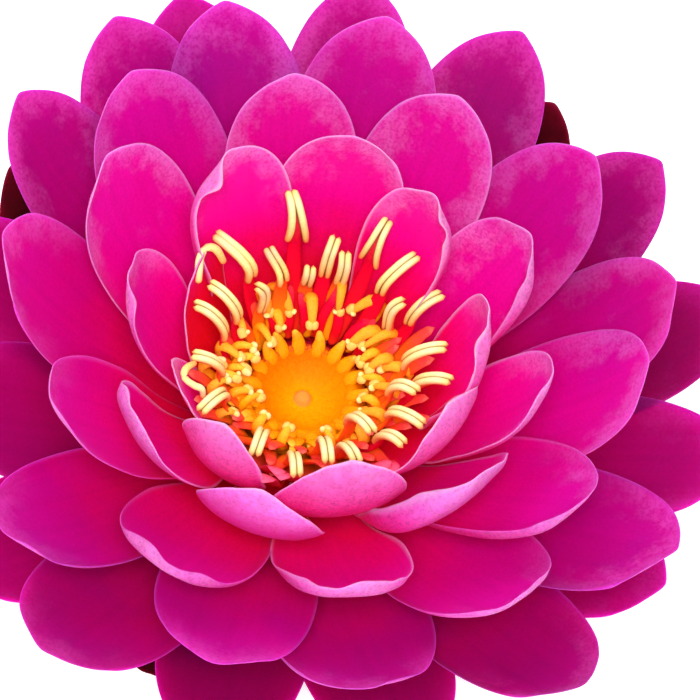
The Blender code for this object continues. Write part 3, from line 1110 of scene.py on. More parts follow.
@dataclass(frozen=True)
class Corolla:
    """All the petals, ring by ring, and the sepals under them."""

    # The tone numbers lighten petals that stand in shade and darken some in full light: painted
    # light and shade, besides each petal's own tone.
    PETALS = {
        Whorl.HEART: (
            Petal(136, 33, 56, 24, 0, left=3.8),
            Petal(97, 33.5, 56, 25, 1, rim=0.5, tone_and_painted_light=0.92),
            Petal(64, 28.5, 56, 20, 0, right=3.6, tone_and_painted_light=0.9),
            Petal(10, 27.5, 55, 23, 1, bow=72, right=2.6),
            Petal(-26, 27, 53, 24, 0, bow=66, hook=30),
            Petal(-68, 30, 54, 24, 1, bow=95),
            Petal(-111, 29, 53, 18, 0, bow=90),
            Petal(-142.5, 26, 42, 16, 1, bow=32, rim=0.0),
            Petal(174, 24.5, 44, 19, 0, bow=45, cup=35, sway=-5, red=0.42),
        ),
        Whorl.INNER: (
            Petal(-176, 34, 50, 22, 2, left=1.6),
            Petal(160.5, 45.5, 55, 28, 3, left=0.8),
            Petal(112, 46, 55, 26, 2, tone_and_painted_light=0.86),
            Petal(76, 49, 55, 26, 3, tone_and_painted_light=0.88),
            Petal(39.5, 40, 52, 24, 2, rim=0.6, right=2.2, tone_and_painted_light=0.96),
            Petal(-3, 40, 54, 22, 2, bow=60, rim=1.0),
            Petal(-36, 39.5, 53, 26, 3, bow=78, right=3.2, tone_and_painted_light=1.2),
            Petal(-68, 50, 48, 25, 3, bow=65, rim=2.0, tone_and_painted_light=0.96),
            Petal(-92, 36.5, 52, 24, 2, bow=95, tone_and_painted_light=1.35),
            Petal(-131, 38.5, 52, 23, 2, bow=72, right=1.6, tone_and_painted_light=1.15),
        ),
        Whorl.MIDDLE: (
            Petal(143, 55, 55, 29, 5, left=0.6),
            Petal(94, 60, 55, 28, 4, tone_and_painted_light=0.82),
            Petal(49, 57, 55, 27, 4.6, tone_and_painted_light=0.8),
            Petal(22, 61, 54, 27, 5.8, bow=56, tone_and_painted_light=0.7),
            Petal(5.5, 55.5, 54, 28, 5.15, bow=56, rim=0.4),
            Petal(-22.5, 55, 51, 26, 4.2, bow=38, rim=1.0, right=0.8),
            Petal(-41, 60, 47, 27, 5, bow=50, rim=1.4),
            Petal(-105.5, 53, 46, 27, 4, bow=54, rim=1.8, tone_and_painted_light=0.98),
            Petal(-141.5, 49.5, 52, 25, 4, rim=0.6, right=0.8),
            Petal(-174, 55, 55, 27, 5, left=0.6, tone_and_painted_light=0.88),
        ),
        Whorl.OUTER: (
            Petal(157, 67, 49, 25, 6, tone_and_painted_light=0.76),
            Petal(136.5, 70, 48, 28, 7, tone_and_painted_light=0.8),
            Petal(120, 66.5, 49, 28, 6, tone_and_painted_light=1.02),
            Petal(98, 71.5, 49, 26, 7, tone_and_painted_light=0.7),
            Petal(74, 72, 49, 27, 6, tone_and_painted_light=0.62),
            Petal(45, 70.5, 49, 26, 7.2, tone_and_painted_light=0.5),
            Petal(-19, 71, 46, 28, 6, rim=1.2),
            Petal(-40, 75, 40, 27, 7, rim=1.0, tone_and_painted_light=0.6),
            Petal(-67, 64, 39, 30, 6.7, bow=43, cup=36, rim=1.2, tone_and_painted_light=0.96),
            Petal(-91.5, 62, 42, 28, 6.1, tone_and_painted_light=1.1),
            Petal(-112.5, 72.5, 38, 28, 7, tone_and_painted_light=0.68),
            Petal(-127, 66, 45.5, 25, 5.4, bow=34, cup=45, rim=1.2, tone_and_painted_light=1.05),
        ),
        Whorl.LOWER: (
            Petal(123, 77, 38, 27, 8, tone_and_painted_light=0.85),
            Petal(25, 77.5, 36, 27, 9, tone_and_painted_light=0.5),
            Petal(3, 76, 34, 27, 8),
            Petal(-16, 71.5, 27, 27, 9, tone_and_painted_light=0.85),
            Petal(-60, 68, 22, 27, 9, tone_and_painted_light=0.72),
            Petal(-89, 68, 22, 27, 8, tone_and_painted_light=0.6),
            Petal(-133, 72, 26, 27, 9),
            Petal(-155, 66, 34, 29, 8),
            Petal(177, 68, 34, 27, 9),
        ),
        Whorl.SEPAL: (
            Sepal(66.5, 75.5, 31, 26, 0, bow=82),
            Sepal(156, 69, 22, 26, 0, bow=70),
            Sepal(-103, 57, 13, 27, 0, bow=56),
            Sepal(-34, 58, 13, 27, 0, bow=58),
        ),
    }

    def build(self) -> None:
        """Models every petal and sepal in place of its plain solid."""
        for whorl, petals in self.PETALS.items():
            for number, petal in enumerate(petals, 1):
                hand_over(petal.build(whorl, number), f"{whorl.node}_{number}")


# ---------------------------------------------------------------- stamens


@dataclass(frozen=True)
class Spine:
    """A smooth curve through a few places, at even steps along it.

    Attributes:
        points: Points along it, in millimetres about the flower's axis.
        ahead: The direction that it runs in at each point.
        side: The direction across it at each point.
        length: Its whole length.
    """

    points: Array
    ahead: Array
    side: Array
    length: float

    PIECE_STEPS = 40
    STEPS = 61

    @classmethod
    def through(cls, places: list, headings: list) -> "Spine":
        """Joins places with cubic pieces.

        Args:
            places: The places, in order.
            headings: The direction of the curve at each place.

        Returns:
            The spine, resampled evenly.
        """
        t = np.linspace(0, 1, cls.PIECE_STEPS)[1:, None]
        line = [places[0][None]]
        for (a, b), (m, n) in zip(zip(places, places[1:]), zip(headings, headings[1:])):
            reach = np.linalg.norm(b - a)
            m, n = unit(m) * reach, unit(n) * reach
            line.append(
                (2 * t**3 - 3 * t**2 + 1) * a + (t**3 - 2 * t**2 + t) * m
                + (3 * t**2 - 2 * t**3) * b + (t**3 - t**2) * n
            )
        line = np.vstack(line)
        gone = np.concatenate([[0], np.cumsum(np.linalg.norm(np.diff(line, axis=0), axis=1))])
        even = np.linspace(0, gone[-1], cls.STEPS)
        points = np.stack([np.interp(even, gone, line[:, i]) for i in range(3)], axis=1)
        ahead = np.gradient(points, axis=0)
        ahead /= np.linalg.norm(ahead, axis=1)[:, None]
        outward = level(places[-1] + places[-2])
        across = np.array([-outward[1], outward[0], 0])
        side = across - ahead * (ahead @ across)[:, None]
        side /= np.linalg.norm(side, axis=1)[:, None]
        return cls(points, ahead, side, float(gone[-1]))

    def at(self, share: Array) -> tuple[Array, Array, Array]:
        """The point, the side and the face direction at each share of the length.

        Args:
            share: Shares of the length, from 0 to 1.

        Returns:
            Three arrays, with a row of x, y and z for each share.
        """
        steps = np.linspace(0, 1, self.STEPS)
        point, side, ahead = (
            np.stack([np.interp(share, steps, rows[:, i]) for i in range(3)], axis=-1)
            for rows in (self.points, self.side, self.ahead)
        )
        side = side / np.linalg.norm(side, axis=-1)[..., None]
        face = np.cross(ahead, side)
        return point, side, face / np.linalg.norm(face, axis=-1)[..., None]


@dataclass(frozen=True)
class Bar:
    """A rounded bar along a spine, from a ball that is stretched and shaped.

    Attributes:
        name: Its object's name.
        spine: The curve that it follows.
        half: Its half width at five even places along it, in millimetres.
        thick: Its half thickness there.
        tissue: What it is made of.
        facets: Faces round it and along it.
        reach: The shares of the spine where it starts and ends.
        shift: How far it lies to the spine's side, at its start and its end.
        inner: Which side of it faces its twin: -1, 1, or 0 for none.
        lift: How far it stands off the spine towards the flower's middle, in millimetres.
    """

    name: str
    spine: Spine
    half: list
    thick: list
    tissue: PlainTissue
    facets: tuple[int, int] = (10, 14)
    reach: Pair = (0, 1)
    shift: Pair = (0, 0)
    inner: float = 0.0
    lift: float = 0.0

    UNEVEN = 0.07
    EVEN_OUT = 0.75
    END_LENGTH = 1.1
    DRIFT = 1.8

    def build(self) -> bpy.types.Object:
        """Models the bar.

        Returns:
            The finished bar.
        """
        bar = primitive(
            self.name, bpy.ops.mesh.primitive_uv_sphere_add,
            segments=self.facets[0], ring_count=self.facets[1], radius=1,
        )
        ball = coordinates(bar)
        turned = np.arccos(np.clip(-ball[:, 2], -1, 1)) / np.pi
        bulge = np.abs(1 - 2 * turned) ** self.EVEN_OUT
        along = 0.5 - 0.5 * np.sign(0.5 - turned) * bulge
        flat = np.hypot(ball[:, 0], ball[:, 1])
        around = np.where(flat[:, None] > 1e-6, ball[:, :2] / np.maximum(flat, 1e-6)[:, None], 0)
        turn_x, turn_y = around[:, 0], around[:, 1]

        start, end = self.reach
        length = (end - start) * self.spine.length
        rounded = 1.0
        for half, gone in ((self.half[0], along), (self.half[-1], 1 - along)):
            ending = max(half * self.END_LENGTH / length, 1e-3)
            rounded = rounded * np.sqrt(np.clip(1 - np.clip(1 - gone / ending, 0, 1) ** 2, 0, 1))
        places = np.linspace(0, 1, len(self.half))
        grain = strays(along * 9, turn_x * 0.8 + turn_y, 3.7 * self.spine.length)
        uneven = 1 + self.UNEVEN * grain
        half, thick = (np.interp(along, places, row) * uneven for row in (self.half, self.thick))
        offset = self.shift[1] + (self.shift[0] - self.shift[1]) * (1 - along) ** self.DRIFT
        sideways = offset + turn_x * half * rounded
        outwards = self.lift + turn_y * thick * rounded
        point, side, face = self.spine.at(start + (end - start) * along)
        place = point + side * sideways[:, None] + face * outwards[:, None]
        set_coordinates(bar, (place + (AXIS_X, AXIS_Y, 0)) * MM)

        # Painted shade: the underside of an anther that stands off its spine is painted in the
        # tissue's deeper shade colour.
        painted_underside = smoothstep(0.3, -0.6, turn_y + 0.35 * turn_x * self.inner)
        set_attribute(bar, "groove", smoothstep(0.5, 1.0, turn_x * self.inner))
        set_attribute(bar, "underside_shade", painted_underside if self.lift > 0 else 0 * along)
        set_uv(bar, (turn_x + 1) / 2, along)
        return finish_shell(bar, self.tissue)


@dataclass(frozen=True)
class Stamen:
    """One stamen: a flat filament with a pollen-bearing anther of two long sacs.

    Attributes:
        tip: The (azimuth, distance from the axis, height) of its tip.
        elbow: The same for the place where its anther starts.
        spread: How far its sacs stand apart at the lower end, in millimetres.
        sac: The sacs' thickness.
        broad: Its filament's width.
        droop: How flat its tip lies: 1 is nearly level, 0 rises.
        petaloid: Whether its filament is red and petal-like.
        stretch: How long its anther is, as a share of the distance from elbow to tip.
    """

    tip: Place
    elbow: Place
    spread: float = 1.2
    sac: float = 1.25
    broad: float = 3.0
    droop: float = 0.9
    petaloid: bool = True
    stretch: float = 1.2

    CLOSED = 1.1
    FOOT = 0.6

    def spine(self) -> Spine:
        """The curve that its filament and anther follow: steep at first, level at the tip.

        Returns:
            The curve.
        """
        seat = polar(self.elbow[0], *OVARY.shoulder(self.FOOT))
        elbow, tip = polar(*self.elbow), polar(*self.tip)
        first, flat = unit(elbow - seat), level(unit(tip - elbow))
        steep = 0.15 * first - 0.12 * flat + UP
        last = flat + (0.8 - self.droop) * UP
        return Spine.through([seat, elbow, tip], [first + 0.5 * UP, steep, last])

    def build(self, number: int) -> list:
        """Models the filament and both sacs.

        Args:
            number: The stamen's number, for the names and its small differences.

        Returns:
            The objects it is made of.
        """
        spine = self.spine()
        reach = np.linalg.norm(polar(*self.tip) - polar(*self.elbow))
        anther = reach * self.stretch / spine.length
        half = self.broad / 2
        parts = [Bar(
            f"filament_{number}", spine,
            [0.5 * half, half, half, 0.7 * half, 0.4], [0.45, 0.4, 0.35, 0.3, 0.25],
            OUTER_FILAMENT if self.petaloid else BROAD_FILAMENT, reach=(0, 1 - anther * 0.3),
        )]
        r = self.sac / 2
        for side in (-1, 1):
            stray = 0.03 * math.sin(5.1 * number + 2 * side)
            parts.append(Bar(
                f"sac_{number}_{side}", spine,
                [0.75 * r, 0.95 * r, r, r, 0.9 * r], [0.9 * r, 1.1 * r, 1.15 * r, 1.15 * r, r],
                ANTHER, reach=(1 - anther + stray, 1 + 0.2 * stray - 0.006),
                shift=(side * self.spread / 2, side * self.CLOSED / 2), inner=-side, lift=0.8 * r,
            ))
        return [part.build() for part in parts]


@dataclass(frozen=True)
class BentStamen:
    """An inner stamen that rises and bends over towards the stigma, with a small pale anther.

    Attributes:
        top: The (azimuth, distance from the axis, height) of its bend.
        tip: The same for its tip.
        broad: Its filament's width, in millimetres.
        anther: Its anther's length.
    """

    top: Place
    tip: Place
    broad: float = 2.4
    anther: float = 1.7

    FOOT = 1.6
    BROAD_FROM = 2.2
    LOBE = 0.74

    def build(self, number: int) -> list:
        """Models the filament and the anther's two small lobes.

        Args:
            number: The stamen's number, for the names and its small differences.

        Returns:
            The objects it is made of.
        """
        seat = polar(self.top[0], *OVARY.shoulder(self.FOOT))
        top, tip = polar(*self.top), polar(*self.tip)
        outward = level(top)
        over = unit((tip - top) * (1, 1, 0) - outward * 0.3)
        headings = [UP + 0.8 * outward, over + 0.25 * UP, unit(tip - top) - 0.15 * UP]
        spine = Spine.through([seat, top, tip], headings)
        half = self.broad / 2 * (1 + 0.14 * math.sin(4.3 * number))
        share = self.anther / spine.length
        parts = [Bar(
            f"bent_{number}", spine,
            [0.8 * half, 0.95 * half, half, 0.85 * half, 0.45 * half], [0.6, 0.7, 0.8, 0.7, 0.45],
            MIDDLE_FILAMENT if self.broad >= self.BROAD_FROM else INNER_FILAMENT,
            reach=(0, 1 - share * 0.3),
        )]
        for side in (-1, 1):
            stray = math.sin(3.7 * number + 1.9 * side)
            r = self.LOBE + 0.14 * stray
            row = [0.8 * r, r, r, 0.95 * r, 0.85 * r]
            parts.append(Bar(
                f"lobe_{number}_{side}", spine, row, row, SMALL_ANTHER, (8, 8),
                reach=(1 - share * (1 + 0.25 * stray), 1 + 0.02 * stray),
                shift=(side * 0.42, side * 0.4), inner=-side, lift=0.2 * stray,
            ))
        return [part.build() for part in parts]


@dataclass(frozen=True)
class Curl:
    """A stray anther that hangs in a curl.

    Attributes:
        places: The (azimuth, distance from the axis, height) of each place that it passes.
        thick: How thick it is, in millimetres.
    """

    places: tuple[Place, ...]
    thick: float = 1.35

    def build(self, number: int) -> list:
        """Models the curled anther.

        Args:
            number: The anther's number, for its name.

        Returns:
            The one object, in a list.
        """
        points = [polar(*place) for place in self.places]
        before, after = [points[0], *points[:-1]], [*points[1:], points[-1]]
        spine = Spine.through(points, [b - a for a, b in zip(before, after)])
        half, thick = (
            [share * self.thick / 2 for share in row]
            for row in ((0.7, 1.0, 0.85, 1.0, 0.8), (0.7, 0.9, 0.85, 0.9, 0.7))
        )
        return [Bar(f"curl_{number}", spine, half, thick, ANTHER, (10, 24)).build()]


@dataclass(frozen=True)
class Blades:
    """A ring, or part of one, of broad barren filaments between two rings of stamens.

    Attributes:
        first: The azimuth of the first one, in degrees.
        step: The angle from each to the next.
        count: How many there are.
        foot: How far up the ovary's shoulder they start, in millimetres.
        elbow: The (distance from the axis, height) of their middle.
        tip: The same for their tips.
        broad: Their width.
        stray: How much they differ from one another.
        tissue: What most of them are made of.
    """

    first: float
    step: float
    count: int
    foot: float
    elbow: Pair
    tip: Pair
    broad: float
    stray: float
    tissue: PlainTissue

    RED_FROM = 45
    RED_TO = 140

    def build(self, name: str) -> list:
        """Models them, redder where they stand against the bases of the far petals.

        Args:
            name: What their names start with.

        Returns:
            The objects, one for each blade.
        """
        made = []
        for number in range(self.count):
            azimuth = self.first + self.step * number + 0.35 * self.step * math.sin(5.9 * number)
            reach = self.tip[0] + self.stray * math.sin(3.3 * number)
            height = self.tip[1] + 1.3 * self.stray * math.sin(4.7 * number + 1)
            seat = polar(azimuth, *OVARY.shoulder(self.foot))
            elbow = polar(azimuth, *self.elbow)
            tip = polar(azimuth + 5 * math.sin(2.9 * number), reach, height)
            outward = level(elbow)
            headings = [outward + 0.4 * UP, tip - seat, outward + 0.5 * UP]
            half = self.broad / 2 * (1 + 0.15 * math.sin(6.1 * number))
            made.append(Bar(
                f"{name}_{number}", Spine.through([seat, elbow, tip], headings),
                [0.8 * half, half, half, 0.85 * half, 0.5 * half], [0.5, 0.5, 0.45, 0.35, 0.25],
                OUTER_FILAMENT if self.RED_FROM < azimuth % 360 < self.RED_TO else self.tissue,
                (10, 12),
            ).build())
        return made


OUTER_STAMENS = [
    Stamen((115, 29, 44), (112, 24, 36.5), spread=3.6, sac=1.5),
    Stamen((146, 27.5, 40.5), (142, 19, 38), sac=1.5, stretch=1.35),
    Stamen((125, 23, 35.5), (127, 15, 38), petaloid=False),
    Stamen((95, 22, 41), (97, 19.5, 32.5)),
    Stamen((90, 20, 40), (88, 18.7, 31.5), petaloid=False),
    Stamen((77, 27.5, 43.5), (78, 23, 35.5), spread=3.4),
    Stamen((60, 25.7, 41.5), (64, 19, 36), stretch=1.3),
    Stamen((40, 24.8, 41.5), (42, 20, 34)),
    Stamen((45, 18.6, 40), (48, 17, 31.5), petaloid=False),
    Stamen((15, 23, 41), (16, 16.7, 34.5), petaloid=False),
    Stamen((-1, 24.4, 41), (1, 18.7, 34.5)),
    Stamen((-15, 19.8, 42), (-9, 15, 35), petaloid=False),
    Stamen((-25, 24, 40.5), (-23, 17, 34.5), petaloid=False),
    Stamen((-38, 24.6, 41), (-38, 19, 34)),
    Stamen((-48, 20.4, 42), (-48, 14, 35.5), petaloid=False),
    Stamen((-59, 24, 40.5), (-59, 18, 34), petaloid=False),
    Stamen((-71, 23.5, 40.5), (-70, 16.6, 34.5), petaloid=False),
    Stamen((-83, 26, 39.5), (-86, 19.5, 33.5), petaloid=False),
    Stamen((-101, 25, 40), (-105, 18, 35), petaloid=False),
    Stamen((-129, 25, 40), (-136, 18, 35.5), petaloid=False),
    Stamen((-156, 22.1, 40), (-153, 16.7, 34.6), petaloid=False),
    Curl((
        (-152.5, 21.2, 40), (-149, 23.4, 41), (-145.5, 24.2, 41), (-142, 23.0, 40),
        (-140, 21.7, 39), (-138.5, 21.4, 36.5),
    )),
    Curl((
        (152, 21.9, 40.5), (152.5, 24.1, 43), (155, 25.3, 43.5), (159, 25.2, 43),
        (163, 24.3, 42), (167, 23.2, 40),
    ), 1.6),
    Stamen((179, 22.4, 40.5), (179, 16.4, 34), droop=1.2),
    Stamen((166, 21.8, 40.5), (165, 15.6, 34.5), droop=1.1),
    Stamen((106, 19, 35), (106, 18.5, 30), broad=3.2, petaloid=False),
    Stamen((150, 15.5, 39.5), (143, 14.6, 31.5), petaloid=False),
]
MIDDLE_STAMENS = [
    BentStamen((136, 16, 33), (136, 13.5, 28.5)),
    BentStamen((125, 16.8, 32), (117, 12.6, 28)),
    BentStamen((103, 14.4, 31), (100, 9.7, 28)),
    BentStamen((86, 17.6, 32.5), (82, 14, 28)),
    BentStamen((66, 19, 31.5), (76, 15.4, 28)),
    BentStamen((52, 14.4, 31), (60, 10, 27.5)),
    BentStamen((44, 16.4, 31.5), (49, 11.2, 28)),
    BentStamen((28, 13.8, 31), (25, 10.4, 28)),
    BentStamen((19, 17, 31), (27, 12.7, 28)),
    BentStamen((2, 15, 31.5), (8, 11, 28.5)),
    BentStamen((-18, 14.6, 31), (-23, 10.8, 28)),
    BentStamen((-37, 14.8, 30.5), (-34, 11.2, 28.5)),
    BentStamen((-133, 17.6, 31.5), (-129.5, 15.4, 30)),
    BentStamen((-150, 17.2, 32.6), (-153.5, 14.4, 32)),
    BentStamen((-163, 18, 33), (-164.5, 14.8, 32), anther=2.3),
    BentStamen((-177, 15.4, 32), (-170, 11.7, 31)),
    BentStamen((160, 15.4, 32), (167.5, 12.7, 31)),
]
INNER_STAMENS = [
    BentStamen((148, 12, 29.4), (152, 8.4, 28), 2.0),
    BentStamen((130, 13.4, 29.5), (130, 10.6, 27), 2.0),
    BentStamen((38, 12.4, 29.6), (37, 9.6, 27), 2.0),
    BentStamen((14, 12.2, 29.4), (20, 9, 27.4), 2.0),
    BentStamen((-6, 12, 29), (-4, 9.6, 26.8), 2.0),
    BentStamen((-29, 12.8, 29.2), (-26.5, 10.6, 28.4), 2.0),
    BentStamen((-58, 12.6, 28.8), (-60, 10, 28), 2.0),
    BentStamen((-95, 12.6, 28.8), (-93, 9.9, 28), 2.0),
    BentStamen((-117, 12.8, 29), (-119, 10.4, 28), 2.0),
    BentStamen((-140, 11.6, 28.4), (-142, 8.4, 27), 1.8),
    BentStamen((-147, 13.2, 29.6), (-145, 10.4, 28.5), 2.0),
    BentStamen((-157, 15, 31.8), (-154, 12.3, 31), 2.0),
    BentStamen((-166, 12.8, 30.4), (-164, 10.2, 29), 2.0, anther=2.4),
    BentStamen((175, 12.6, 31), (171, 10.1, 30), 2.0),
    BentStamen((-178, 11.6, 29.8), (175, 9.2, 29), 1.8),
]


@dataclass(frozen=True)
class Androecium:
    """The rings of stamens, each with the barren blades that stand among them."""

    RINGS = {
        "outer": (OUTER_STAMENS, (
            Blades(206, 11.5, 17, 0.3, (16.0, 27.0), (22.4, 34.2), 3.2, 1.1, BROAD_FILAMENT),
            Blades(-94, 8, 1, 0.3, (22.0, 28.5), (29.5, 41.5), 5.5, 0.5, PETAL_BLADE),
            Blades(-121, 10, 9, 0.3, (20.5, 29.0), (27.0, 40.0), 5.4, 0.8, PETAL_BLADE),
        )),
        "middle": (MIDDLE_STAMENS, (
            Blades(0, 11.6, 31, 1.8, (13.2, 26.4), (17.4, 30.6), 2.3, 0.9, BROAD_FILAMENT),
        )),
        "inner": (INNER_STAMENS, (
            Blades(-158, 9.6, 14, 2.8, (11.2, 25.2), (15.2, 28.6), 2.4, 0.6, INNER_FILAMENT),
        )),
    }

    def build(self) -> None:
        """Models the three rings in place of their plain solids."""
        for ring, (stamens, groups) in self.RINGS.items():
            parts = []
            for blades in groups:
                parts += blades.build(f"{ring}_blade")
            for number, stamen in enumerate(stamens, 1):
                parts += stamen.build(number)
            node = f"stamens_{ring}"
            hand_over(joined(f"{ring}_stamens", parts), node)


def turned(name: str, profile: tuple, segments: int, rings: int) -> tuple:
    """Makes a ball whose places are known on a profile that turns about the flower's axis.

    Args:
        name: The new object's name.
        profile: The profile's (radius, height) corners, from the bottom to the top.
        segments: Faces round it.
        rings: Faces along it.

    Returns:
        The ball's object, and for each vertex its share of the way along the profile, its azimuth
        in radians, its radius and its height.
    """
    made = primitive(
        name, bpy.ops.mesh.primitive_uv_sphere_add,
        segments=segments, ring_count=rings, radius=1,
    )
    ball = coordinates(made)
    share = np.arccos(np.clip(-ball[:, 2], -1, 1)) / np.pi
    angle = np.arctan2(ball[:, 1], ball[:, 0])
    line = np.array(profile, float)
    gone = np.concatenate([[0], np.cumsum(np.hypot(*np.diff(line, axis=0).T))])
    gone /= gone[-1]
    radius, height = (np.interp(share, gone, line[:, i]) for i in (0, 1))
    return made, share, angle, radius, height


@dataclass(frozen=True)
class Gynoecium:
    """The ovary with its bowl-shaped stigma, the knob in its middle and the fingers round it.

    Attributes:
        rays: How many rays the stigma has, and so how many fingers.
        ridge: How high each ray stands, in millimetres.
        finger_width: A finger's width at its thickest.
        leaning: The azimuth of the side where the fingers lean out the most, in degrees.
        rim: The bowl's radius at its rim.
    """

    rays: int = 18
    ridge: float = 0.035
    finger_width: float = 2.5
    leaning: float = -97
    rim: float = 8.7

    KNOB = 1.6
    PAINTED_SHADE_PHASE = 30
    PROFILE = (
        (0, 3.5), (5.0, 3.5), (7.6, 4.9), (9.6, 6.5), (11.1, 8.8), (12.0, 11.5), (12.5, 14),
        (12.6, 16.5), (12.5, 18.6), (12.1, 20.2), (11.2, 21.6), (10.1, 22.8), (9.3, 23.5),
        (8.7, 23.8), (8.1, 23.5), (7.3, 22.6), (6.2, 21.6), (4.8, 20.7), (3.4, 20.1),
        (2.3, 19.8), (1.7, 19.9), (1.5, 20.4), (1.2, 20.9), (0.7, 21.2), (0, 21.3),
    )

    def body(self) -> bpy.types.Object:
        """The ovary and the stigma's bowl, in one closed surface.

        Returns:
            The closed surface, dressed.
        """
        body, share, angle, radius, height = turned("ovary_body", self.PROFILE, 160, 96)
        bowl = smoothstep(0.58, 0.64, share)
        inside = smoothstep(self.rim + 1, self.rim - 1, radius)
        ray = np.cos(self.rays * angle) * smoothstep(1.8, 5.0, radius) * inside
        height = height + bowl * self.ridge * ray
        set_coordinates(body, to_world(radius, 0 * radius, height, angle))
        set_attribute(body, "groove", bowl * 0.25 * np.clip(-ray, 0, 1))
        set_attribute(body, "underside_shade", 0 * share)
        # The colour runs from the foot up the sides, then from the rim in to the knob.
        # Painted light and shade: one side of the bowl is coloured yellower and the other darker
        # orange.
        painted_light_shade = 0.12 * np.sin(angle - math.radians(self.PAINTED_SHADE_PHASE)) * smoothstep(1.5, 5.0, radius)
        inwards = 0.56 + 0.36 * (1 - radius / self.rim) - painted_light_shade
        along = np.where(bowl > 0.5, inwards, 0.46 * share / 0.6)
        along = np.where((bowl > 0.9) & (radius < self.KNOB), 1.0, np.minimum(along, 0.94))
        set_uv(body, (np.cos(angle) + 1) / 2, along)
        return finish_shell(body, STIGMA)

    def finger(self, number: int) -> bpy.types.Object:
        """One of the fleshy fingers that stand round the stigma's rim.

        Args:
            number: The finger's number, which gives its place round the rim.

        Returns:
            The finger.
        """
        azimuth = 360 * (number + 0.5) / self.rays + 2.5 * math.sin(7.7 * number)
        lean = max(0.0, math.cos(math.radians(azimuth - self.leaning)))
        seat = polar(azimuth, 7.3, 22.2)
        bend = 23.9 - 0.2 * lean + 0.3 * math.sin(3.1 * number)
        elbow = polar(azimuth, 9.5 + 0.5 * lean, bend)
        reach = 10.9 + 2.2 * lean + 0.6 * math.sin(2.3 * number)
        height = 26.4 - 1.2 * lean + 0.5 * math.sin(4.1 * number)
        tip = polar(azimuth + 5 * math.sin(5.3 * number), reach, height)
        outward = level(elbow)
        last = (1 - 0.6 * lean) * UP + (0.1 + 0.8 * lean) * outward
        headings = [outward + 0.6 * UP, outward + 0.7 * UP, last]
        half = self.finger_width / 2
        return Bar(
            f"finger_{number}", Spine.through([seat, elbow, tip], headings),
            [0.9 * half, 1.15 * half, 0.95 * half, 0.65 * half, 0.3 * half],
            [0.6, 0.8, 0.9, 0.7, 0.35], INNER_FILAMENT, (10, 10),
        ).build()

    def build(self) -> None:
        """Models the ovary and stigma in place of their plain solid."""
        parts = [self.body(), *(self.finger(number) for number in range(self.rays))]
        hand_over(joined("ovary_and_stigma", parts), "ovary")


@dataclass(frozen=True)
class Stalk:
    """The short cut stalk: a fluted stub with the air canals of a water plant in its cut end.

    Attributes:
        flutes: How many shallow flutes run up it.
        flute: How deep they are, as a share of its radius.
        canals: Rings of air canals: how many, how far out, and the radius of each.
        depth: How deep the canals are hollowed out, in millimetres.
    """

    flutes: int = 9
    flute: float = 0.012
    canals: tuple = ((4, 1.5, 0.75), (9, 3.05, 0.42))
    depth: float = 0.8

    CUT_END = 0.33
    TOP = 3.2
    PROFILE = (
        (0, 0), (3.9, 0), (4.3, 0.12), (4.5, 0.45), (4.45, 1.2), (4.4, 2.2), (4.5, 2.8),
        (4.3, 3.15), (3.9, 3.2), (0, 3.2),
    )

    def hollow(self, x: Array, y: Array) -> Array:
        """How much of a canal each place is in, from 0 in the flesh to 1 in a canal.

        Args:
            x: Places across the cut end, in millimetres.
            y: Places across it the other way, in millimetres.

        Returns:
            The shares.
        """
        found = np.zeros_like(x)
        for count, out, size in self.canals:
            for turn in np.arange(count) * 2 * np.pi / count:
                gap = np.hypot(x - out * math.cos(turn), y - out * math.sin(turn))
                found = np.maximum(found, smoothstep(size, 0.6 * size, gap))
        return found

    def build(self) -> None:
        """Models the stalk in place of its plain solid."""
        stalk, share, angle, radius, height = turned("cut_stalk", self.PROFILE, 96, 80)
        cut = share < self.CUT_END
        hollow = self.hollow(radius * np.cos(angle), radius * np.sin(angle)) * cut
        flutes = self.flute * np.cos(self.flutes * angle) * smoothstep(3.5, 4.3, radius)
        raised = height + self.depth * hollow
        set_coordinates(stalk, to_world(radius * (1 + flutes), 0 * radius, raised, angle))
        # Painted shade: the shallow canals are coloured dark, as the shade deep in a hollow canal.
        set_attribute(stalk, "groove", hollow)
        set_attribute(stalk, "underside_shade", 0 * share)
        # The colour runs from the middle of the cut end out to its edge, then up the side.
        along = np.where(cut, 0.06 * radius, 0.45 + 0.5 * height / self.TOP)
        set_uv(stalk, (np.cos(angle) + 1) / 2, along)
        hand_over(finish_shell(stalk, STALK_TISSUE), "stalk")


# ---------------------------------------------------------------- studio


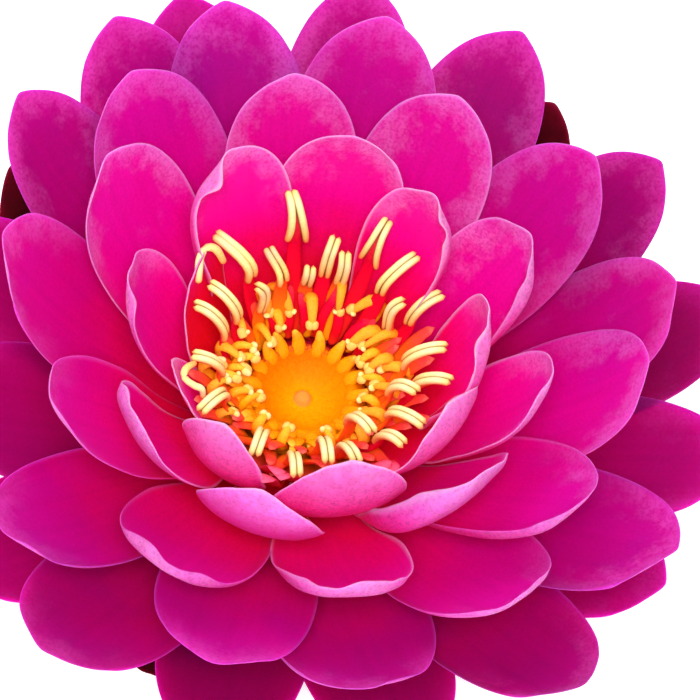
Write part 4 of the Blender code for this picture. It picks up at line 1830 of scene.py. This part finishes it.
@dataclass(frozen=True)
class Studio:
    """A pale floor, soft lights from above and a camera that looks down on the flower.

    Attributes:
        elevation: How steeply the camera looks down, in degrees.
        roll: How far it is turned about its line of sight.
        distance: How far it is from what it looks at, in millimetres.
        lens: Its focal length.
        target: The point that it looks at, about the flower's axis.
    """

    elevation: float = 60.0
    roll: float = 16.0
    distance: float = 450.0
    lens: float = 128.6
    target: Place = (5.8, 10.1, 24.0)

    SENSOR = 36.0
    LIGHTS = (
        ("key", (0.0, -0.42, 0.88), 0.35, 9.0),
        ("fill", (-0.4, 0.45, 0.8), 0.6, 3.0),
    )
    LIT_POINT = (0, 0, 0.02)
    SKY = 0.6
    FLOOR_DROP = 0.05

    def build(self) -> None:
        """Sets the stage round the flower."""
        self.floor()
        self.lights()
        self.camera()

    def add(self, name: str, data: bpy.types.ID) -> bpy.types.Object:
        """Puts a light or a camera in the scene.

        Args:
            name: The object's name.
            data: The light or camera that it holds.

        Returns:
            The object.
        """
        made = bpy.data.objects.new(name, data)
        bpy.context.scene.collection.objects.link(made)
        return made

    def floor(self) -> None:
        """A wide pale floor just under the flower."""
        floor = primitive(
            "floor", bpy.ops.mesh.primitive_plane_add,
            size=6, location=(0, 0, -self.FLOOR_DROP * MM),
        )
        made = bpy.data.materials.new("pale_floor")
        made.use_nodes = True
        feed(made.node_tree, made.node_tree.nodes["Principled BSDF"], {
            "Base Color": linear("#F4F4F4"),
            "Roughness": 0.9,
            "Specular IOR Level": 0.1,
            "Emission Color": (1, 1, 1, 1),
            "Emission Strength": 0.5,
        })
        floor.data.materials.append(made)

    def lights(self) -> None:
        """An even sky and two large soft lights, the stronger behind the viewer's shoulder."""
        scene = bpy.context.scene
        scene.view_settings.view_transform = "Standard"
        scene.world = bpy.data.worlds.new("studio_sky")
        scene.world.use_nodes = True
        tree = scene.world.node_tree
        feed(tree, tree.nodes["Background"], {"Color": (1, 1, 1, 1), "Strength": self.SKY})
        for name, place, size, power in self.LIGHTS:
            data = bpy.data.lights.new(name, "AREA")
            data.size, data.energy = size, power
            light = self.add(name, data)
            light.location = place
            aim = Vector(self.LIT_POINT) - Vector(place)
            light.rotation_euler = aim.to_track_quat("-Z", "Y").to_euler()

    def camera(self) -> None:
        """Looks down at the flower, turned a little about the line of sight."""
        data = bpy.data.cameras.new("camera")
        data.lens, data.sensor_width, data.clip_start = self.lens, self.SENSOR, 0.01
        camera = self.add("camera", data)
        raised, rolled = math.radians(self.elevation), math.radians(self.roll)
        back = Vector((0, -math.cos(raised), math.sin(raised)))
        up = Vector((0, math.sin(raised), math.cos(raised)))
        right = Vector((1, 0, 0))
        x_axis = right * math.cos(rolled) + up * math.sin(rolled)
        y_axis = up * math.cos(rolled) - right * math.sin(rolled)
        across, inwards, height = self.target
        target = Vector((AXIS_X + across, AXIS_Y + inwards, height)) * MM
        place = Matrix((x_axis, y_axis, back)).transposed().to_4x4()
        place.translation = target + back * self.distance * MM
        camera.matrix_world = place
        bpy.context.scene.camera = camera


def main() -> None:
    """Builds the flower piece by piece and sets the stage."""
    logging.basicConfig(level=logging.INFO, format="%(message)s")
    Corolla().build()
    Stalk().build()
    Gynoecium().build()
    Androecium().build()
    Studio().build()


if __name__ == "__main__":
    main()
